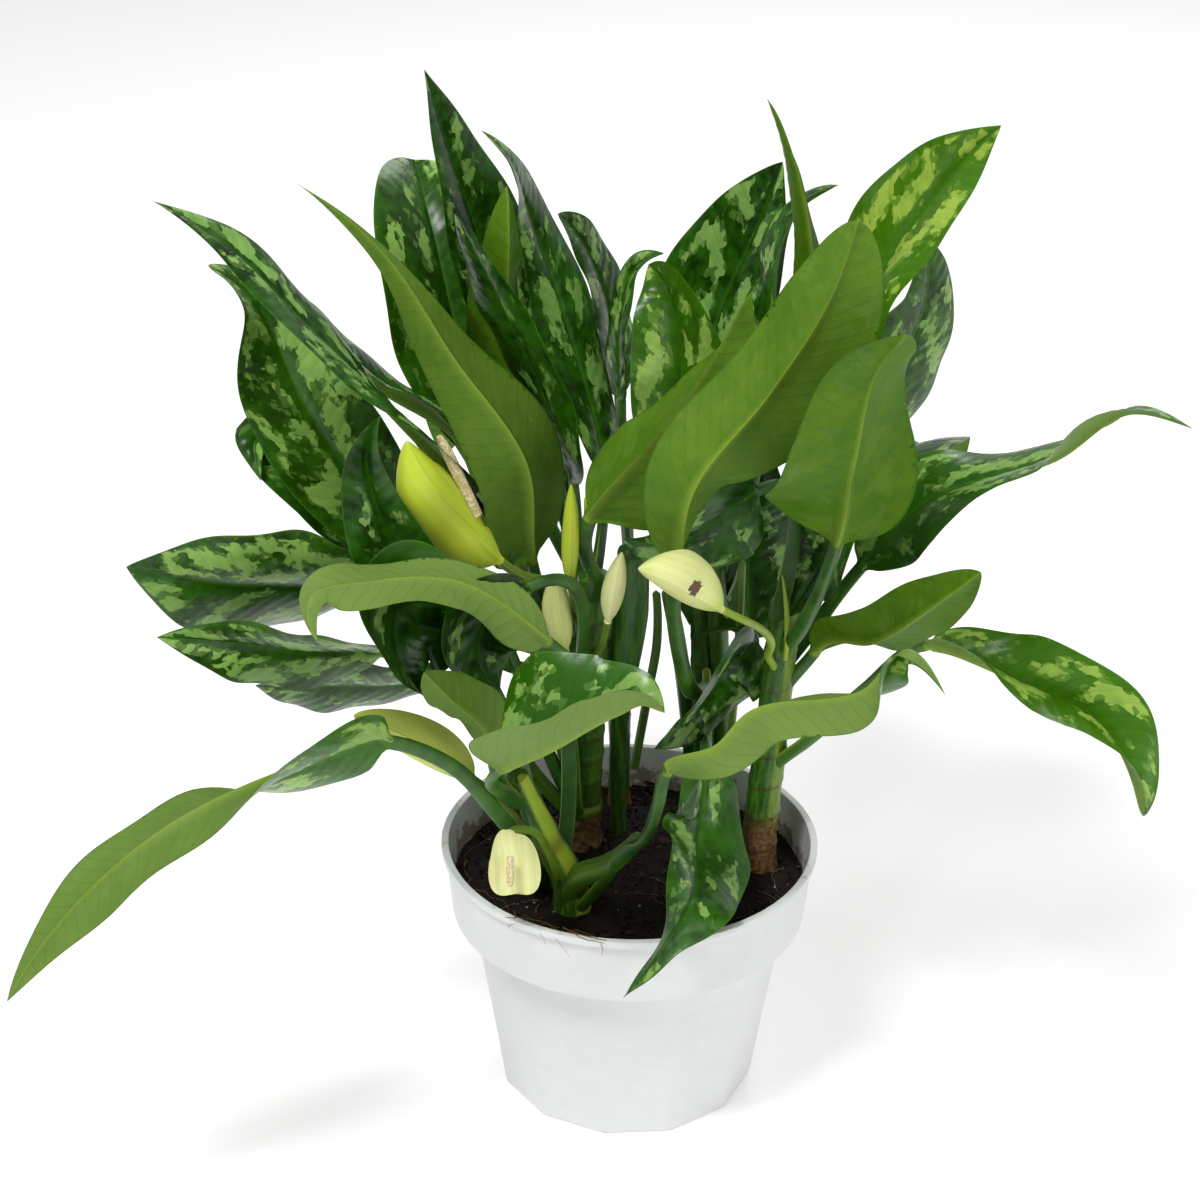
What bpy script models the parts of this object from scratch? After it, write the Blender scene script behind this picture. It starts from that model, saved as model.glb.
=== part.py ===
"""Potted chinese evergreen: a plastic nursery pot, its soil, five canes, and the
leaves and flowers that grow from them. Metres, +Z up, origin under the pot's axis."""
import math
from collections import namedtuple

import bmesh
import bpy
import numpy as np
from mathutils import Matrix, Vector

MM = 0.001

# Pot
POT_HEIGHT = 108 * MM
RIM_RADIUS = 75 * MM
LIP_WIDTH = 1.6 * MM           # how far the lip stands out from the collar
LIP_DEPTH = 3.0 * MM
COLLAR_HEIGHT = 30 * MM
COLLAR_TAPER = 2.4 * MM        # loss of radius from the lip to the foot of the collar
LEDGE_WIDTH = 7.5 * MM         # step in under the collar
BODY_TAPER = 11.5 * MM         # loss of radius from the ledge to the base
WALL = 1.3 * MM
FLOOR = 2.0 * MM
FACETS = 12                    # flats that the round body turns into toward its base
FACET_TURN = math.radians(-85)  # direction that the first flat faces
POT_STEPS = 36

# Soil
SOIL_DROP = 17 * MM            # rim to the edge of the soil
SOIL_CROWN = 3 * MM            # rise from the edge of the soil to its middle
CLEARANCE = 0.4 * MM           # gap between pieces that touch

# Plant. Its points are drawn for a rim of this radius, and it grows with the pot.
DRAWN_RIM_RADIUS = 75 * MM
GROWTH = RIM_RADIUS / DRAWN_RIM_RADIUS
BLADE_THICKNESS = 0.9 * MM
SPATHE_THICKNESS = 0.9 * MM
MARGIN_THICKNESS = 0.25 * MM
STALK_RADIUS = 2.5             # mm, where a leaf gives no radius of its own
STALK_RINGS = 7
BLADE_RINGS = 11
CANE_BASE_RISE = 6 * MM        # upright stretch at the foot of a cane
STALK_LIFT = 0.5               # share of its radius that a slanting stalk's foot is raised

# A cane stands on the soil at foot (x, y) and leans to top (x, y, height above the rim), in mm.
Cane = namedtuple("Cane", "foot top radius")

# A leaf or a spathe. start is (cane, height above the cane's foot, compass angle) or
# ("soil", x, y); points are its midrib's (x, y, height above the rim), in mm. The blade
# begins at point number stalk_points. face is the way its upper side looks at the blade's
# base, middle and tip, as (compass angle, elevation); fold is how far each half is raised.
# fullness and point shape the outline toward the base and the tip.
Blade = namedtuple("Blade", "name start points width face fold fullness point stalk_points stalk kind")


def Leaf(name, start, points, width, face, fold, fullness, point, stalk_points=1, stalk=STALK_RADIUS):
    return Blade(name, start, points, width, face, fold, fullness, point, stalk_points, stalk, "leaf")


def Spathe(name, start, points, width, face, fold, fullness, point, stalk_points=1, stalk=STALK_RADIUS):
    return Blade(name, start, points, width, face, fold, fullness, point, stalk_points, stalk, "spathe")


CANES = {
    "main": Cane(foot=(-19, 20), top=(-15, 8, 113), radius=7.5 * MM),
    "rear": Cane(foot=(-4, 53), top=(-4, 38, 69), radius=4.5 * MM),
    "front": Cane(foot=(-23, -28), top=(-44, -40, 52), radius=4.5 * MM),
    "right": Cane(foot=(52, 6), top=(58, 0, 107), radius=7.0 * MM),
    "middle": Cane(foot=(32, 49), top=(27, 38, 87), radius=5.0 * MM),
}

BLADES = [
    Leaf("leaf_upper_left_1", ("main", 64, 105),
         [(-37, 49, 164), (-56, 55, 218), (-69, 50, 261), (-79, 40, 300)],
         width=49, face=[(-45, 20), (-35, 10), (-30, 5)], fold=10, fullness=0.53, point=1.05),
    Leaf("leaf_upper_left_2", ("rear", 82, 120),
         [(-45, 52, 137), (-68, 66, 183), (-80, 80, 228), (-88, 105, 246)],
         width=64, face=[(-70, 20), (-60, 15), (-50, 65)], fold=15, fullness=0.57, point=0.50),
    Leaf("leaf_upper_left_3", ("main", 114, 115),
         [(-39, 31, 167), (-50, 29, 208), (-49, 23, 240), (-49, 29, 260)],
         width=41, face=[(155, -15), (150, 5), (135, -15)], fold=15, fullness=0.56, point=0.94),
    Leaf("leaf_upper_left_4", ("main", 126, 140),
         [(-24, 16, 147), (-35, 6, 188), (-51, -4, 228), (-66, -6, 261)],
         width=47, face=[(-160, -10), (-145, -25), (-140, -20)], fold=0, fullness=0.57, point=0.87),
    Leaf("leaf_upper_left_5", ("main", 126, 80),
         [(-12, 28, 146), (-25, 51, 192), (-41, 53, 241), (-50, 31, 273), (-58, 22, 283)],
         width=37, face=[(-25, 15), (-35, 20), (-15, 35)], fold=0, fullness=0.50, point=1.09),
    Leaf("leaf_upper_left_6", ("main", 93, 165),
         [(-39, -3, 123), (-42, -12, 167), (-68, -18, 211), (-90, -28, 252), (-117, -45, 284)],
         width=48, face=[(135, 0), (155, -20), (170, -40)], fold=4, fullness=0.38, point=1.45),
    Leaf("leaf_center_1", ("rear", 70, 70), [(-6, 80, 156), (-13, 87, 199), (-23, 80, 224), (-31, 70, 236)],
         width=32, face=[(-35, 15), (-20, 15), (-25, 10)], fold=5, fullness=0.57, point=0.87),
    Leaf("leaf_center_2", ("rear", 82, 55), [(-6, 58, 164), (-6, 62, 196), (0, 71, 216), (10, 66, 222)],
         width=27, face=[(-155, 0), (-170, 15), (-160, 65)], fold=6, fullness=0.55, point=0.92),
    Leaf("leaf_center_3", ("middle", 100, 180), [(11, 38, 150), (17, 42, 187), (9, 52, 216), (4, 62, 219)],
         width=44, face=[(-80, 5), (-95, 10), (-150, 35)], fold=29, fullness=0.60, point=0.95),
    Leaf("leaf_center_4", ("main", 126, -55),
         [(-17, -22, 150), (1, -24, 175), (19, -18, 197), (39, -20, 238)],
         width=56, face=[(55, -5), (50, -35), (10, -20)], fold=20, fullness=0.50, point=0.96, stalk=3.0),
    Leaf("leaf_upper_right_1", ("middle", 100, 110),
         [(26, 50, 156), (31, 73, 191), (45, 73, 230), (54, 66, 259)],
         width=59, face=[(-130, 25), (-135, 15), (-130, 0)], fold=13, fullness=0.57, point=0.91),
    Leaf("leaf_upper_right_2", ("middle", 100, 0),
         [(49, 31, 176), (51, 36, 219), (60, 51, 247), (74, 48, 256)],
         width=42, face=[(-155, 5), (-175, 10), (155, 65)], fold=12, fullness=0.55, point=0.97),
    Leaf("leaf_upper_right_3", ("right", 120, 70),
         [(66, 25, 179), (63, 22, 228), (57, 22, 262), (44, 18, 297)],
         width=45, face=[(155, 0), (165, -10), (180, -25)], fold=3, fullness=0.55, point=0.97),
    Leaf("leaf_upper_right_4", ("middle", 70, -100),
         [(23, 4, 65), (14, -30, 117), (14, -48, 145), (18, -58, 177), (45, -66, 219), (64, -72, 259),
          (71, -62, 279)],
         width=46, face=[(130, 20), (65, -10), (85, -35)], fold=28, fullness=0.62, point=0.50,
         stalk_points=3, stalk=3.0),
    Leaf("leaf_upper_right_5", ("right", 108, -75),
         [(71, -52, 156), (72, -80, 203), (75, -100, 240), (82, -120, 261)],
         width=58, face=[(75, 30), (140, 25), (100, 35)], fold=11, fullness=0.43, point=0.82),
    Leaf("leaf_upper_right_6", ("right", 114, 35),
         [(85, 20, 181), (87, 22, 226), (106, 20, 262), (126, 5, 292)],
         width=56, face=[(-175, 5), (-155, 25), (-130, -5)], fold=12, fullness=0.52, point=0.99),
    Leaf("leaf_upper_right_7", ("right", 105, 75),
         [(91, 50, 148), (104, 58, 183), (112, 62, 210), (109, 60, 232)],
         width=50, face=[(-40, -5), (-50, -5), (-40, 5)], fold=0, fullness=0.54, point=0.95),
    Leaf("leaf_right_1", ("right", 100, 30),
         [(86, 7, 117), (109, -6, 153), (152, -15, 174), (178, -25, 197), (198, -30, 192)],
         width=45, face=[(-115, 5), (145, 70), (20, 60)], fold=4, fullness=0.69, point=0.95),
    Leaf("leaf_right_2", ("right", 89, -10),
         [(70, -1, 85), (89, -41, 112), (106, -75, 145), (116, -95, 166)],
         width=28, face=[(90, 5), (65, 35), (40, 15)], fold=15, fullness=0.58, point=0.74),
    Leaf("leaf_right_3", ("right", 57, -25),
         [(89, -14, 78), (109, -25, 102), (139, -38, 96), (172, -55, 85), (186, -75, 58)],
         width=37, face=[(100, 70), (-100, 45), (-20, 25)], fold=39, fullness=0.70, point=0.69,
         stalk_points=2, stalk=3.2),
    Leaf("leaf_right_4", ("front", 6, -45),
         [(-7, -40, 13), (5, -47, 31), (9, -53, 48), (12, -58, 65), (31, -66, 79), (42, -70, 95),
          (81, -85, 113), (94, -98, 136), (106, -104, 123)],
         width=26, face=[(150, -45), (0, -10), (-155, -20)], fold=44, fullness=0.62, point=1.01,
         stalk_points=4, stalk=3.2),
    Leaf("leaf_lower_right_1", ("middle", 99, -55), [(48, 18, 80), (36, 6, 73), (24, 12, 50), (9, 1, 40)],
         width=43, face=[(-40, 20), (-50, -35), (-45, 0)], fold=20, fullness=0.54, point=0.96),
    Leaf("leaf_lower_right_2", ("middle", 64, 15),
         [(46, 47, 65), (47, 56, 97), (47, 38, 135), (51, 35, 158)],
         width=42, face=[(-75, 10), (-70, -30), (-80, -5)], fold=12, fullness=0.55, point=0.95),
    Leaf("leaf_lower_right_3", ("right", 118, -20),
         [(77, -15, 159), (72, -24, 149), (66, -9, 120), (59, -10, 105)],
         width=40, face=[(-140, 50), (-155, -10), (-135, 25)], fold=12, fullness=0.55, point=0.95),
    Leaf("leaf_lower_right_4", ("right", 112, -115),
         [(44, -28, 165), (32, -34, 158), (14, -30, 144), (-5, -32, 147)],
         width=44, face=[(-75, -10), (-70, -20), (-100, -25)], fold=10, fullness=0.55, point=0.95),
    Leaf("leaf_front_1", ("middle", 21, -90), [(29, -9, 40), (27, -23, 18), (20, -78, 15), (-3, -98, -9)],
         width=42, face=[(-45, 30), (5, 55), (-55, -10)], fold=13, fullness=0.53, point=1.21),
    Leaf("leaf_front_2", ("front", 62, -95),
         [(-48, -80, 78), (-31, -88, 91), (-7, -92, 108), (3, -95, 114), (10, -97, 111)],
         width=66, face=[(155, 50), (-170, 50), (-5, 60)], fold=50, fullness=0.59, point=0.98),
    Leaf("leaf_front_3", ("front", 62, -155),
         [(-52, -59, 71), (-55, -65, 87), (-65, -72, 101), (-75, -77, 115)],
         width=25, face=[(90, 25), (100, 15), (125, -5)], fold=36, fullness=0.62, point=0.76),
    Leaf("leaf_left_1", ("main", 18, -110),
         [(-60, -13, 154), (-86, -19, 188), (-117, -30, 228), (-145, -38, 262), (-165, -48, 278)],
         width=50, face=[(45, 30), (5, 40), (-45, 40)], fold=1, fullness=0.57, point=1.28),
    Leaf("leaf_left_2", ("main", 111, 155),
         [(-52, 12, 129), (-68, 15, 167), (-98, 19, 186), (-123, 14, 222)],
         width=55, face=[(-15, 25), (35, 55), (0, 25)], fold=10, fullness=0.59, point=0.99),
    Leaf("leaf_left_3", ("rear", 70, -90),
         [(-89, 33, 114), (-125, 28, 171), (-146, 25, 220), (-158, 18, 232)],
         width=46, face=[(-65, 15), (-90, 0), (5, 50)], fold=6, fullness=0.48, point=0.74),
    Leaf("leaf_left_4", ("rear", 82, 175),
         [(-93, 50, 98), (-128, 50, 132), (-148, 45, 151), (-145, 35, 138)],
         width=36, face=[(-50, 40), (-45, 30), (-115, 20)], fold=12, fullness=0.55, point=0.95),
    Leaf("leaf_left_5", ("front", 33, 125),
         [(-98, -14, 116), (-124, -24, 122), (-154, -42, 132), (-183, -50, 142)],
         width=70, face=[(-95, -45), (-65, -30), (-80, -5)], fold=0, fullness=0.49, point=0.95),
    Leaf("leaf_left_6", ("front", 65, 70),
         [(-92, -39, 102), (-122, -49, 108), (-148, -58, 116), (-171, -66, 122)],
         width=40, face=[(-90, -40), (-80, -30), (-65, 15)], fold=14, fullness=0.55, point=1.06),
    Leaf("leaf_left_7", ("front", 65, 140),
         [(-74, -16, 75), (-100, -22, 79), (-121, -32, 84), (-140, -44, 91)],
         width=42, face=[(-110, -45), (-70, -35), (-70, -35)], fold=1, fullness=0.55, point=1.00),
    Leaf("leaf_left_8", ("main", 77, 150),
         [(-77, -32, 120), (-92, -41, 158), (-96, -45, 186), (-90, -49, 202)],
         width=33, face=[(-60, 0), (-85, -10), (-105, -10)], fold=29, fullness=0.46, point=1.09),
    Leaf("leaf_left_9", ("main", 70, -85),
         [(-32, -49, 113), (-66, -65, 144), (-91, -78, 150), (-112, -90, 149), (-110, -96, 137)],
         width=32, face=[(135, -15), (-160, -75), (40, 0)], fold=0, fullness=0.58, point=0.75),
    Leaf("leaf_left_10", ("front", 21, 70),
         [(-67, -40, 125), (-86, -50, 125), (-86, -59, 118), (-75, -65, 98)],
         width=56, face=[(-65, -5), (-35, 35), (-15, 40)], fold=22, fullness=0.52, point=1.08),
    Leaf("leaf_left_11", ("main", 88, -110),
         [(-40, -45, 128), (-52, -43, 122), (-57, -51, 111), (-49, -57, 96)],
         width=44, face=[(-45, -5), (-55, 15), (-50, 40)], fold=12, fullness=0.55, point=0.95),
    Leaf("leaf_left_12", ("soil", -34, -16),
         [(-51, -51, 42), (-68, -62, 69), (-88, -68, 81), (-120, -86, 79), (-164, -106, 66),
          (-222, -127, 7)],
         width=43, face=[(-65, -10), (20, -65), (75, -20)], fold=0, fullness=0.37, point=0.95,
         stalk_points=3, stalk=3.0),
    Leaf("leaf_back_1", ("rear", 72, 125),
         [(-34, 86, 98), (-56, 122, 124), (-72, 154, 118), (-84, 182, 84)],
         width=52, face=[(-90, 60), (90, 80), (90, 35)], fold=12, fullness=0.55, point=0.95),
    Leaf("leaf_back_2", ("middle", 92, 90), [(26, 92, 104), (32, 132, 134), (36, 168, 132), (40, 198, 98)],
         width=56, face=[(-90, 60), (90, 80), (90, 35)], fold=12, fullness=0.55, point=0.95),
    Leaf("leaf_back_3", ("right", 97, 70), [(84, 75, 96), (108, 108, 120), (126, 138, 112), (140, 162, 78)],
         width=50, face=[(-90, 60), (90, 80), (90, 35)], fold=12, fullness=0.55, point=0.95),
    Spathe("spathe_left", ("main", 125, 155),
         [(-50, -27, 135), (-62, -34, 154), (-75, -45, 176), (-82, -42, 189)],
         width=36, face=[(145, -5), (130, -10), (115, -30)], fold=45, fullness=0.50, point=0.70, stalk=2.0),
    Spathe("spathe_right", ("right", 98, -150),
         [(47, -44, 116), (30, -68, 137), (20, -73, 145), (11, -77, 152), (0, -77, 157)],
         width=30, face=[(100, 10), (100, 20), (80, 5)], fold=60, fullness=0.50, point=0.70,
         stalk_points=2, stalk=1.6),
    Spathe("spathe_bud_1", ("main", 96, -75), [(-10, -14, 104), (-8, -18, 119), (-5, -16, 134)],
         width=16, face=[(85, 20), (85, 5), (90, -15)], fold=65, fullness=0.50, point=0.70, stalk=1.6),
    Spathe("spathe_bud_2", ("main", 112, -110), [(-24, -19, 122), (-24, -24, 146), (-24, -24, 165)],
         width=12, face=[(95, 35), (90, 20), (90, -35)], fold=65, fullness=0.50, point=0.70, stalk=1.5),
    Spathe("spathe_bud_3", ("main", 82, -125), [(-26, -12, 90), (-28, -17, 108), (-29, -20, 126)],
         width=18, face=[(105, 20), (110, 25), (100, 5)], fold=55, fullness=0.50, point=0.70, stalk=1.8),
    Spathe("spathe_low", ("front", 16, -100),
         [(-32, -44, 22), (-38, -54, 36), (-45, -60, 39), (-44, -66, 31), (-43, -70, 18)],
         width=21, face=[(-85, 60), (-85, 20), (-90, 10)], fold=22, fullness=0.50, point=0.30,
         stalk_points=3, stalk=1.8),
    Spathe("spathe_old", ("front", 46, 160),
         [(-60, -44, 52), (-75, -53, 70), (-89, -58, 81), (-102, -62, 89)],
         width=20, face=[(110, 10), (110, 5), (110, 0)], fold=30, fullness=0.50, point=0.70, stalk=1.8),
]

# A spadix is the rod of tiny flowers inside a spathe: two ends in mm, and a radius.
Spadix = namedtuple("Spadix", "name low high radius")
SPADICES = [
    Spadix("spadix_left", (-58, -30, 155), (-71, -33, 187), 2.1 * MM),
    Spadix("spadix_low", (-45, -71, 35), (-45, -76, 25), 1.4 * MM),
]


def remove_all():
    for item in list(bpy.data.objects):
        bpy.data.objects.remove(item, do_unlink=True)


def new_collection(name):
    group = bpy.data.collections.new(name)
    bpy.context.scene.collection.children.link(group)
    return group


def new_material(name, color, roughness, metallic=0.0):
    material = bpy.data.materials.new(name)
    material.use_nodes = True
    shader = material.node_tree.nodes["Principled BSDF"]
    shader.inputs["Base Color"].default_value = (*color, 1.0)
    shader.inputs["Roughness"].default_value = roughness
    shader.inputs["Metallic"].default_value = metallic
    return material


def add_mesh_object(name, bm, group, material, smooth_angle=math.radians(40)):
    bmesh.ops.recalc_face_normals(bm, faces=bm.faces)
    mesh = bpy.data.meshes.new(name)
    bm.to_mesh(mesh)
    bm.free()
    mesh.shade_smooth()
    mesh.set_sharp_from_angle(angle=smooth_angle)
    mesh.materials.append(material)
    item = bpy.data.objects.new(name, mesh)
    group.objects.link(item)
    return item


# ---- pot and soil -------------------------------------------------------------------

COLLAR_TOP_RADIUS = RIM_RADIUS - LIP_WIDTH
COLLAR_FOOT_RADIUS = COLLAR_TOP_RADIUS - COLLAR_TAPER
BODY_TOP_RADIUS = COLLAR_FOOT_RADIUS - LEDGE_WIDTH
BASE_RADIUS = BODY_TOP_RADIUS - BODY_TAPER
LEDGE_HEIGHT = POT_HEIGHT - COLLAR_HEIGHT
SOIL_EDGE_HEIGHT = POT_HEIGHT - SOIL_DROP


def collar_inner_radius(height):
    share = (POT_HEIGHT - height) / COLLAR_HEIGHT
    return COLLAR_TOP_RADIUS - COLLAR_TAPER * share - WALL


def pot_outline():
    """Radius and height around the pot's wall, from the middle of its underside up the
    outside, over the lip and down the inside to the middle of its floor."""
    lip_foot = POT_HEIGHT - LIP_DEPTH
    outside = [(0.0, 0.0), (BASE_RADIUS - 1 * MM, 0.0), (BASE_RADIUS, 1 * MM),
               (BODY_TOP_RADIUS, LEDGE_HEIGHT), (COLLAR_FOOT_RADIUS, LEDGE_HEIGHT),
               (COLLAR_TOP_RADIUS, lip_foot), (RIM_RADIUS, lip_foot + 0.6 * MM),
               (RIM_RADIUS, POT_HEIGHT - 0.8 * MM), (RIM_RADIUS - 0.8 * MM, POT_HEIGHT)]
    inside = [(collar_inner_radius(POT_HEIGHT), POT_HEIGHT),
              (collar_inner_radius(LEDGE_HEIGHT), LEDGE_HEIGHT + WALL),
              (BODY_TOP_RADIUS - WALL, LEDGE_HEIGHT + WALL),
              (BASE_RADIUS - WALL, FLOOR), (0.0, FLOOR)]
    return outside + inside


def soil_outline():
    """The soil fills the pot's inside, a clearance away from it, and is domed on top."""
    foot = FLOOR + CLEARANCE
    ledge = LEDGE_HEIGHT + WALL + CLEARANCE
    edge = collar_inner_radius(SOIL_EDGE_HEIGHT) - CLEARANCE
    dome = [(edge * share, soil_height(edge * share)) for share in (0.85, 0.6, 0.3, 0.0)]
    return [(0.0, foot), (BASE_RADIUS - WALL - CLEARANCE, foot),
            (BODY_TOP_RADIUS - WALL - CLEARANCE, ledge),
            (collar_inner_radius(LEDGE_HEIGHT) - CLEARANCE, ledge),
            (edge, SOIL_EDGE_HEIGHT)] + dome


def soil_height(radius):
    edge = collar_inner_radius(SOIL_EDGE_HEIGHT) - CLEARANCE
    return SOIL_EDGE_HEIGHT + SOIL_CROWN * (1 - min(radius / edge, 1.0) ** 2)


def flatten_facets(bm):
    """Draws the round wall in to FACETS flats, fully at the base and not at all at the ledge."""
    half = math.pi / FACETS
    for vert in bm.verts:
        share = max(0.0, 1 - vert.co.z / LEDGE_HEIGHT)
        angle = math.atan2(vert.co.y, vert.co.x) - FACET_TURN
        off_middle = (angle + half) % (2 * half) - half
        flat = math.cos(half) / math.cos(off_middle)
        factor = 1 - share * (1 - flat)
        vert.co.x *= factor
        vert.co.y *= factor


def turned(outline):
    bm = bmesh.new()
    verts = [bm.verts.new((radius, 0.0, height)) for radius, height in outline]
    edges = [bm.edges.new(pair) for pair in zip(verts, verts[1:])]
    bmesh.ops.spin(bm, geom=verts + edges, cent=(0, 0, 0), axis=(0, 0, 1),
                   angle=2 * math.pi, steps=POT_STEPS, use_merge=True)
    bmesh.ops.remove_doubles(bm, verts=bm.verts, dist=0.01 * MM)
    flatten_facets(bm)
    bmesh.ops.triangulate(bm, faces=bm.faces, quad_method="SHORT_EDGE")
    return bm


# ---- canes --------------------------------------------------------------------------

def above_rim(x, y, height):
    """A point given in mm, x and y from the pot's axis and height above its rim."""
    return Vector((x * MM * GROWTH, y * MM * GROWTH, POT_HEIGHT + height * MM * GROWTH))


def on_soil(x, y, radius):
    """A foot of this radius at x and y (mm), a clearance above the soil."""
    spot = Vector((x * MM * GROWTH, y * MM * GROWTH))
    highest = soil_height(max(spot.length - radius, 0.0))
    return Vector((spot.x, spot.y, highest + CLEARANCE))


def cane_points(cane):
    foot = on_soil(*cane.foot, cane.radius)
    return [foot, foot + Vector((0, 0, CANE_BASE_RISE)), above_rim(*cane.top)]


def cane_axis(cane, height):
    """The middle of the cane at this height (m) above its foot."""
    foot, bend, top = cane_points(cane)
    if height <= CANE_BASE_RISE:
        return foot + Vector((0, 0, height))
    share = (height - CANE_BASE_RISE) / (top.z - bend.z)
    return bend.lerp(top, share)


def rod(name, points, radii, group, material, resolution=3):
    curve = bpy.data.curves.new(name, "CURVE")
    curve.dimensions = "3D"
    curve.bevel_depth = 1.0
    curve.bevel_resolution = resolution
    curve.use_fill_caps = True
    spline = curve.splines.new("POLY")
    spline.points.add(len(points) - 1)
    for knot, point, radius in zip(spline.points, points, radii):
        knot.co = (*point, 1.0)
        knot.radius = radius
    curve.materials.append(material)
    item = bpy.data.objects.new(name, curve)
    group.objects.link(item)
    return item


# ---- leaves and spathes -------------------------------------------------------------

def smooth_curve(points):
    """A smooth curve through the points: returns its length and a function of the length
    along it. Each tangent is the mean of its two chords, the shorter one counting more."""
    points = np.array(points)
    chords = np.diff(points, axis=0)
    spans = np.linalg.norm(chords, axis=1)
    slopes = chords / spans[:, None]
    knots = np.concatenate([[0.0], np.cumsum(spans)])
    before, after = spans[:-1, None], spans[1:, None]
    inner = (slopes[:-1] * after + slopes[1:] * before) / (before + after)
    first = 2 * slopes[0] - inner[0]
    last = 2 * slopes[-1] - inner[-1]
    tangents = np.vstack([first, inner, last])

    def at(length):
        span = min(max(np.searchsorted(knots, length, side="right") - 1, 0), len(spans) - 1)
        size = spans[span]
        t = (length - knots[span]) / size
        ends = (2 * t ** 3 - 3 * t ** 2 + 1) * points[span] + (3 * t ** 2 - 2 * t ** 3) * points[span + 1]
        pulls = (t ** 3 - 2 * t ** 2 + t) * tangents[span] + (t ** 3 - t ** 2) * tangents[span + 1]
        return ends + size * pulls

    return knots, at


def start_point(blade):
    place, first, second = blade.start
    radius = blade.stalk * MM
    if place == "soil":
        return on_soil(first, second, radius) + Vector((0, 0, radius * STALK_LIFT))
    cane = CANES[place]
    out = cane.radius + radius + 2 * CLEARANCE
    angle = math.radians(second)
    return cane_axis(cane, first * MM * GROWTH) + Vector((math.cos(angle) * out, math.sin(angle) * out, 0))


def direction(azimuth, elevation):
    a, e = math.radians(azimuth), math.radians(elevation)
    return Vector((math.cos(a) * math.cos(e), math.sin(a) * math.cos(e), math.sin(e)))


def facing(blade, share):
    """The way the upper side looks, at this share of the blade's length."""
    base, middle, tip = (direction(*angles) for angles in blade.face)
    if share < 0.5:
        return base.lerp(middle, share * 2)
    return middle.lerp(tip, share * 2 - 1)


def half_width(blade, share):
    """Half the blade's width: zero at its base and tip, and widest near its middle."""
    low, high = blade.fullness, blade.point
    peak = (low / (low + high)) ** low * (high / (low + high)) ** high
    return blade.width * MM * GROWTH / 2 * share ** low * (1 - share) ** high / peak


def stations(blade):
    """Rings along the midrib, as (place, along, up, side, share of the blade)."""
    knots, at = smooth_curve([start_point(blade)] + [above_rim(*point) for point in blade.points])
    blade_start = knots[blade.stalk_points]
    places = list(np.linspace(0, blade_start, STALK_RINGS)[:-1])
    places += list(np.linspace(blade_start, knots[-1], BLADE_RINGS))
    step = 0.5 * MM
    rings = []
    for place in places:
        share = max(0.0, (place - blade_start) / (knots[-1] - blade_start))
        ahead, behind = min(place + step, knots[-1]), max(place - step, 0.0)
        along = Vector(at(ahead) - at(behind)).normalized()
        look = facing(blade, share)
        up = (look - look.project(along)).normalized()
        rings.append((Vector(at(place)), along, up, along.cross(up), share))
    return rings


SECTION = (180, 90, 0, -45, -90, -135)   # corners of a stalk's section, as angles


def section(blade, ring):
    """Six points around the midrib: margin, upper midrib, margin, and three underneath."""
    place, _, up, side, share = ring
    radius = blade.stalk * MM
    if share <= 0:
        corners = [(math.cos(math.radians(a)) * radius, math.sin(math.radians(a)) * radius) for a in SECTION]
    else:
        wide = max(half_width(blade, share), MARGIN_THICKNESS)
        fold = math.radians(blade.fold)
        out, lift = wide * math.cos(fold), wide * math.sin(fold)
        thickness = BLADE_THICKNESS if blade.kind == "leaf" else SPATHE_THICKNESS
        keel = thickness / 2 + radius * (1 - share) ** 3 * 0.8
        corners = [(-out, lift), (0, thickness / 2), (out, lift), (out / 2, lift / 2 - thickness / 2),
                   (0, -keel), (-out / 2, lift / 2 - thickness / 2)]
    return [place + side * x + up * y for x, y in corners]


def blade_mesh(blade):
    """A capped tube with one loop of six points per ring, each loop set to its section."""
    rings = stations(blade)
    last = len(rings) - 1
    bm = bmesh.new()
    bmesh.ops.create_cone(bm, cap_ends=True, segments=len(SECTION), radius1=1, radius2=1, depth=last,
                          matrix=Matrix.Translation((0, 0, last / 2)))
    long_edges = [edge for edge in bm.edges if abs(edge.verts[0].co.z - edge.verts[1].co.z) > last / 2]
    bmesh.ops.subdivide_edges(bm, edges=long_edges, cuts=last - 1, use_grid_fill=True)
    sections = [section(blade, ring) for ring in rings]
    turn = 2 * math.pi / len(SECTION)
    for vert in bm.verts:
        ring = round(vert.co.z)
        corner = round(math.atan2(vert.co.y, vert.co.x) / turn) % len(SECTION)
        vert.co = sections[ring][-corner % len(SECTION)]
    bmesh.ops.triangulate(bm, faces=[face for face in bm.faces if len(face.verts) == 4])
    return bm


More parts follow.
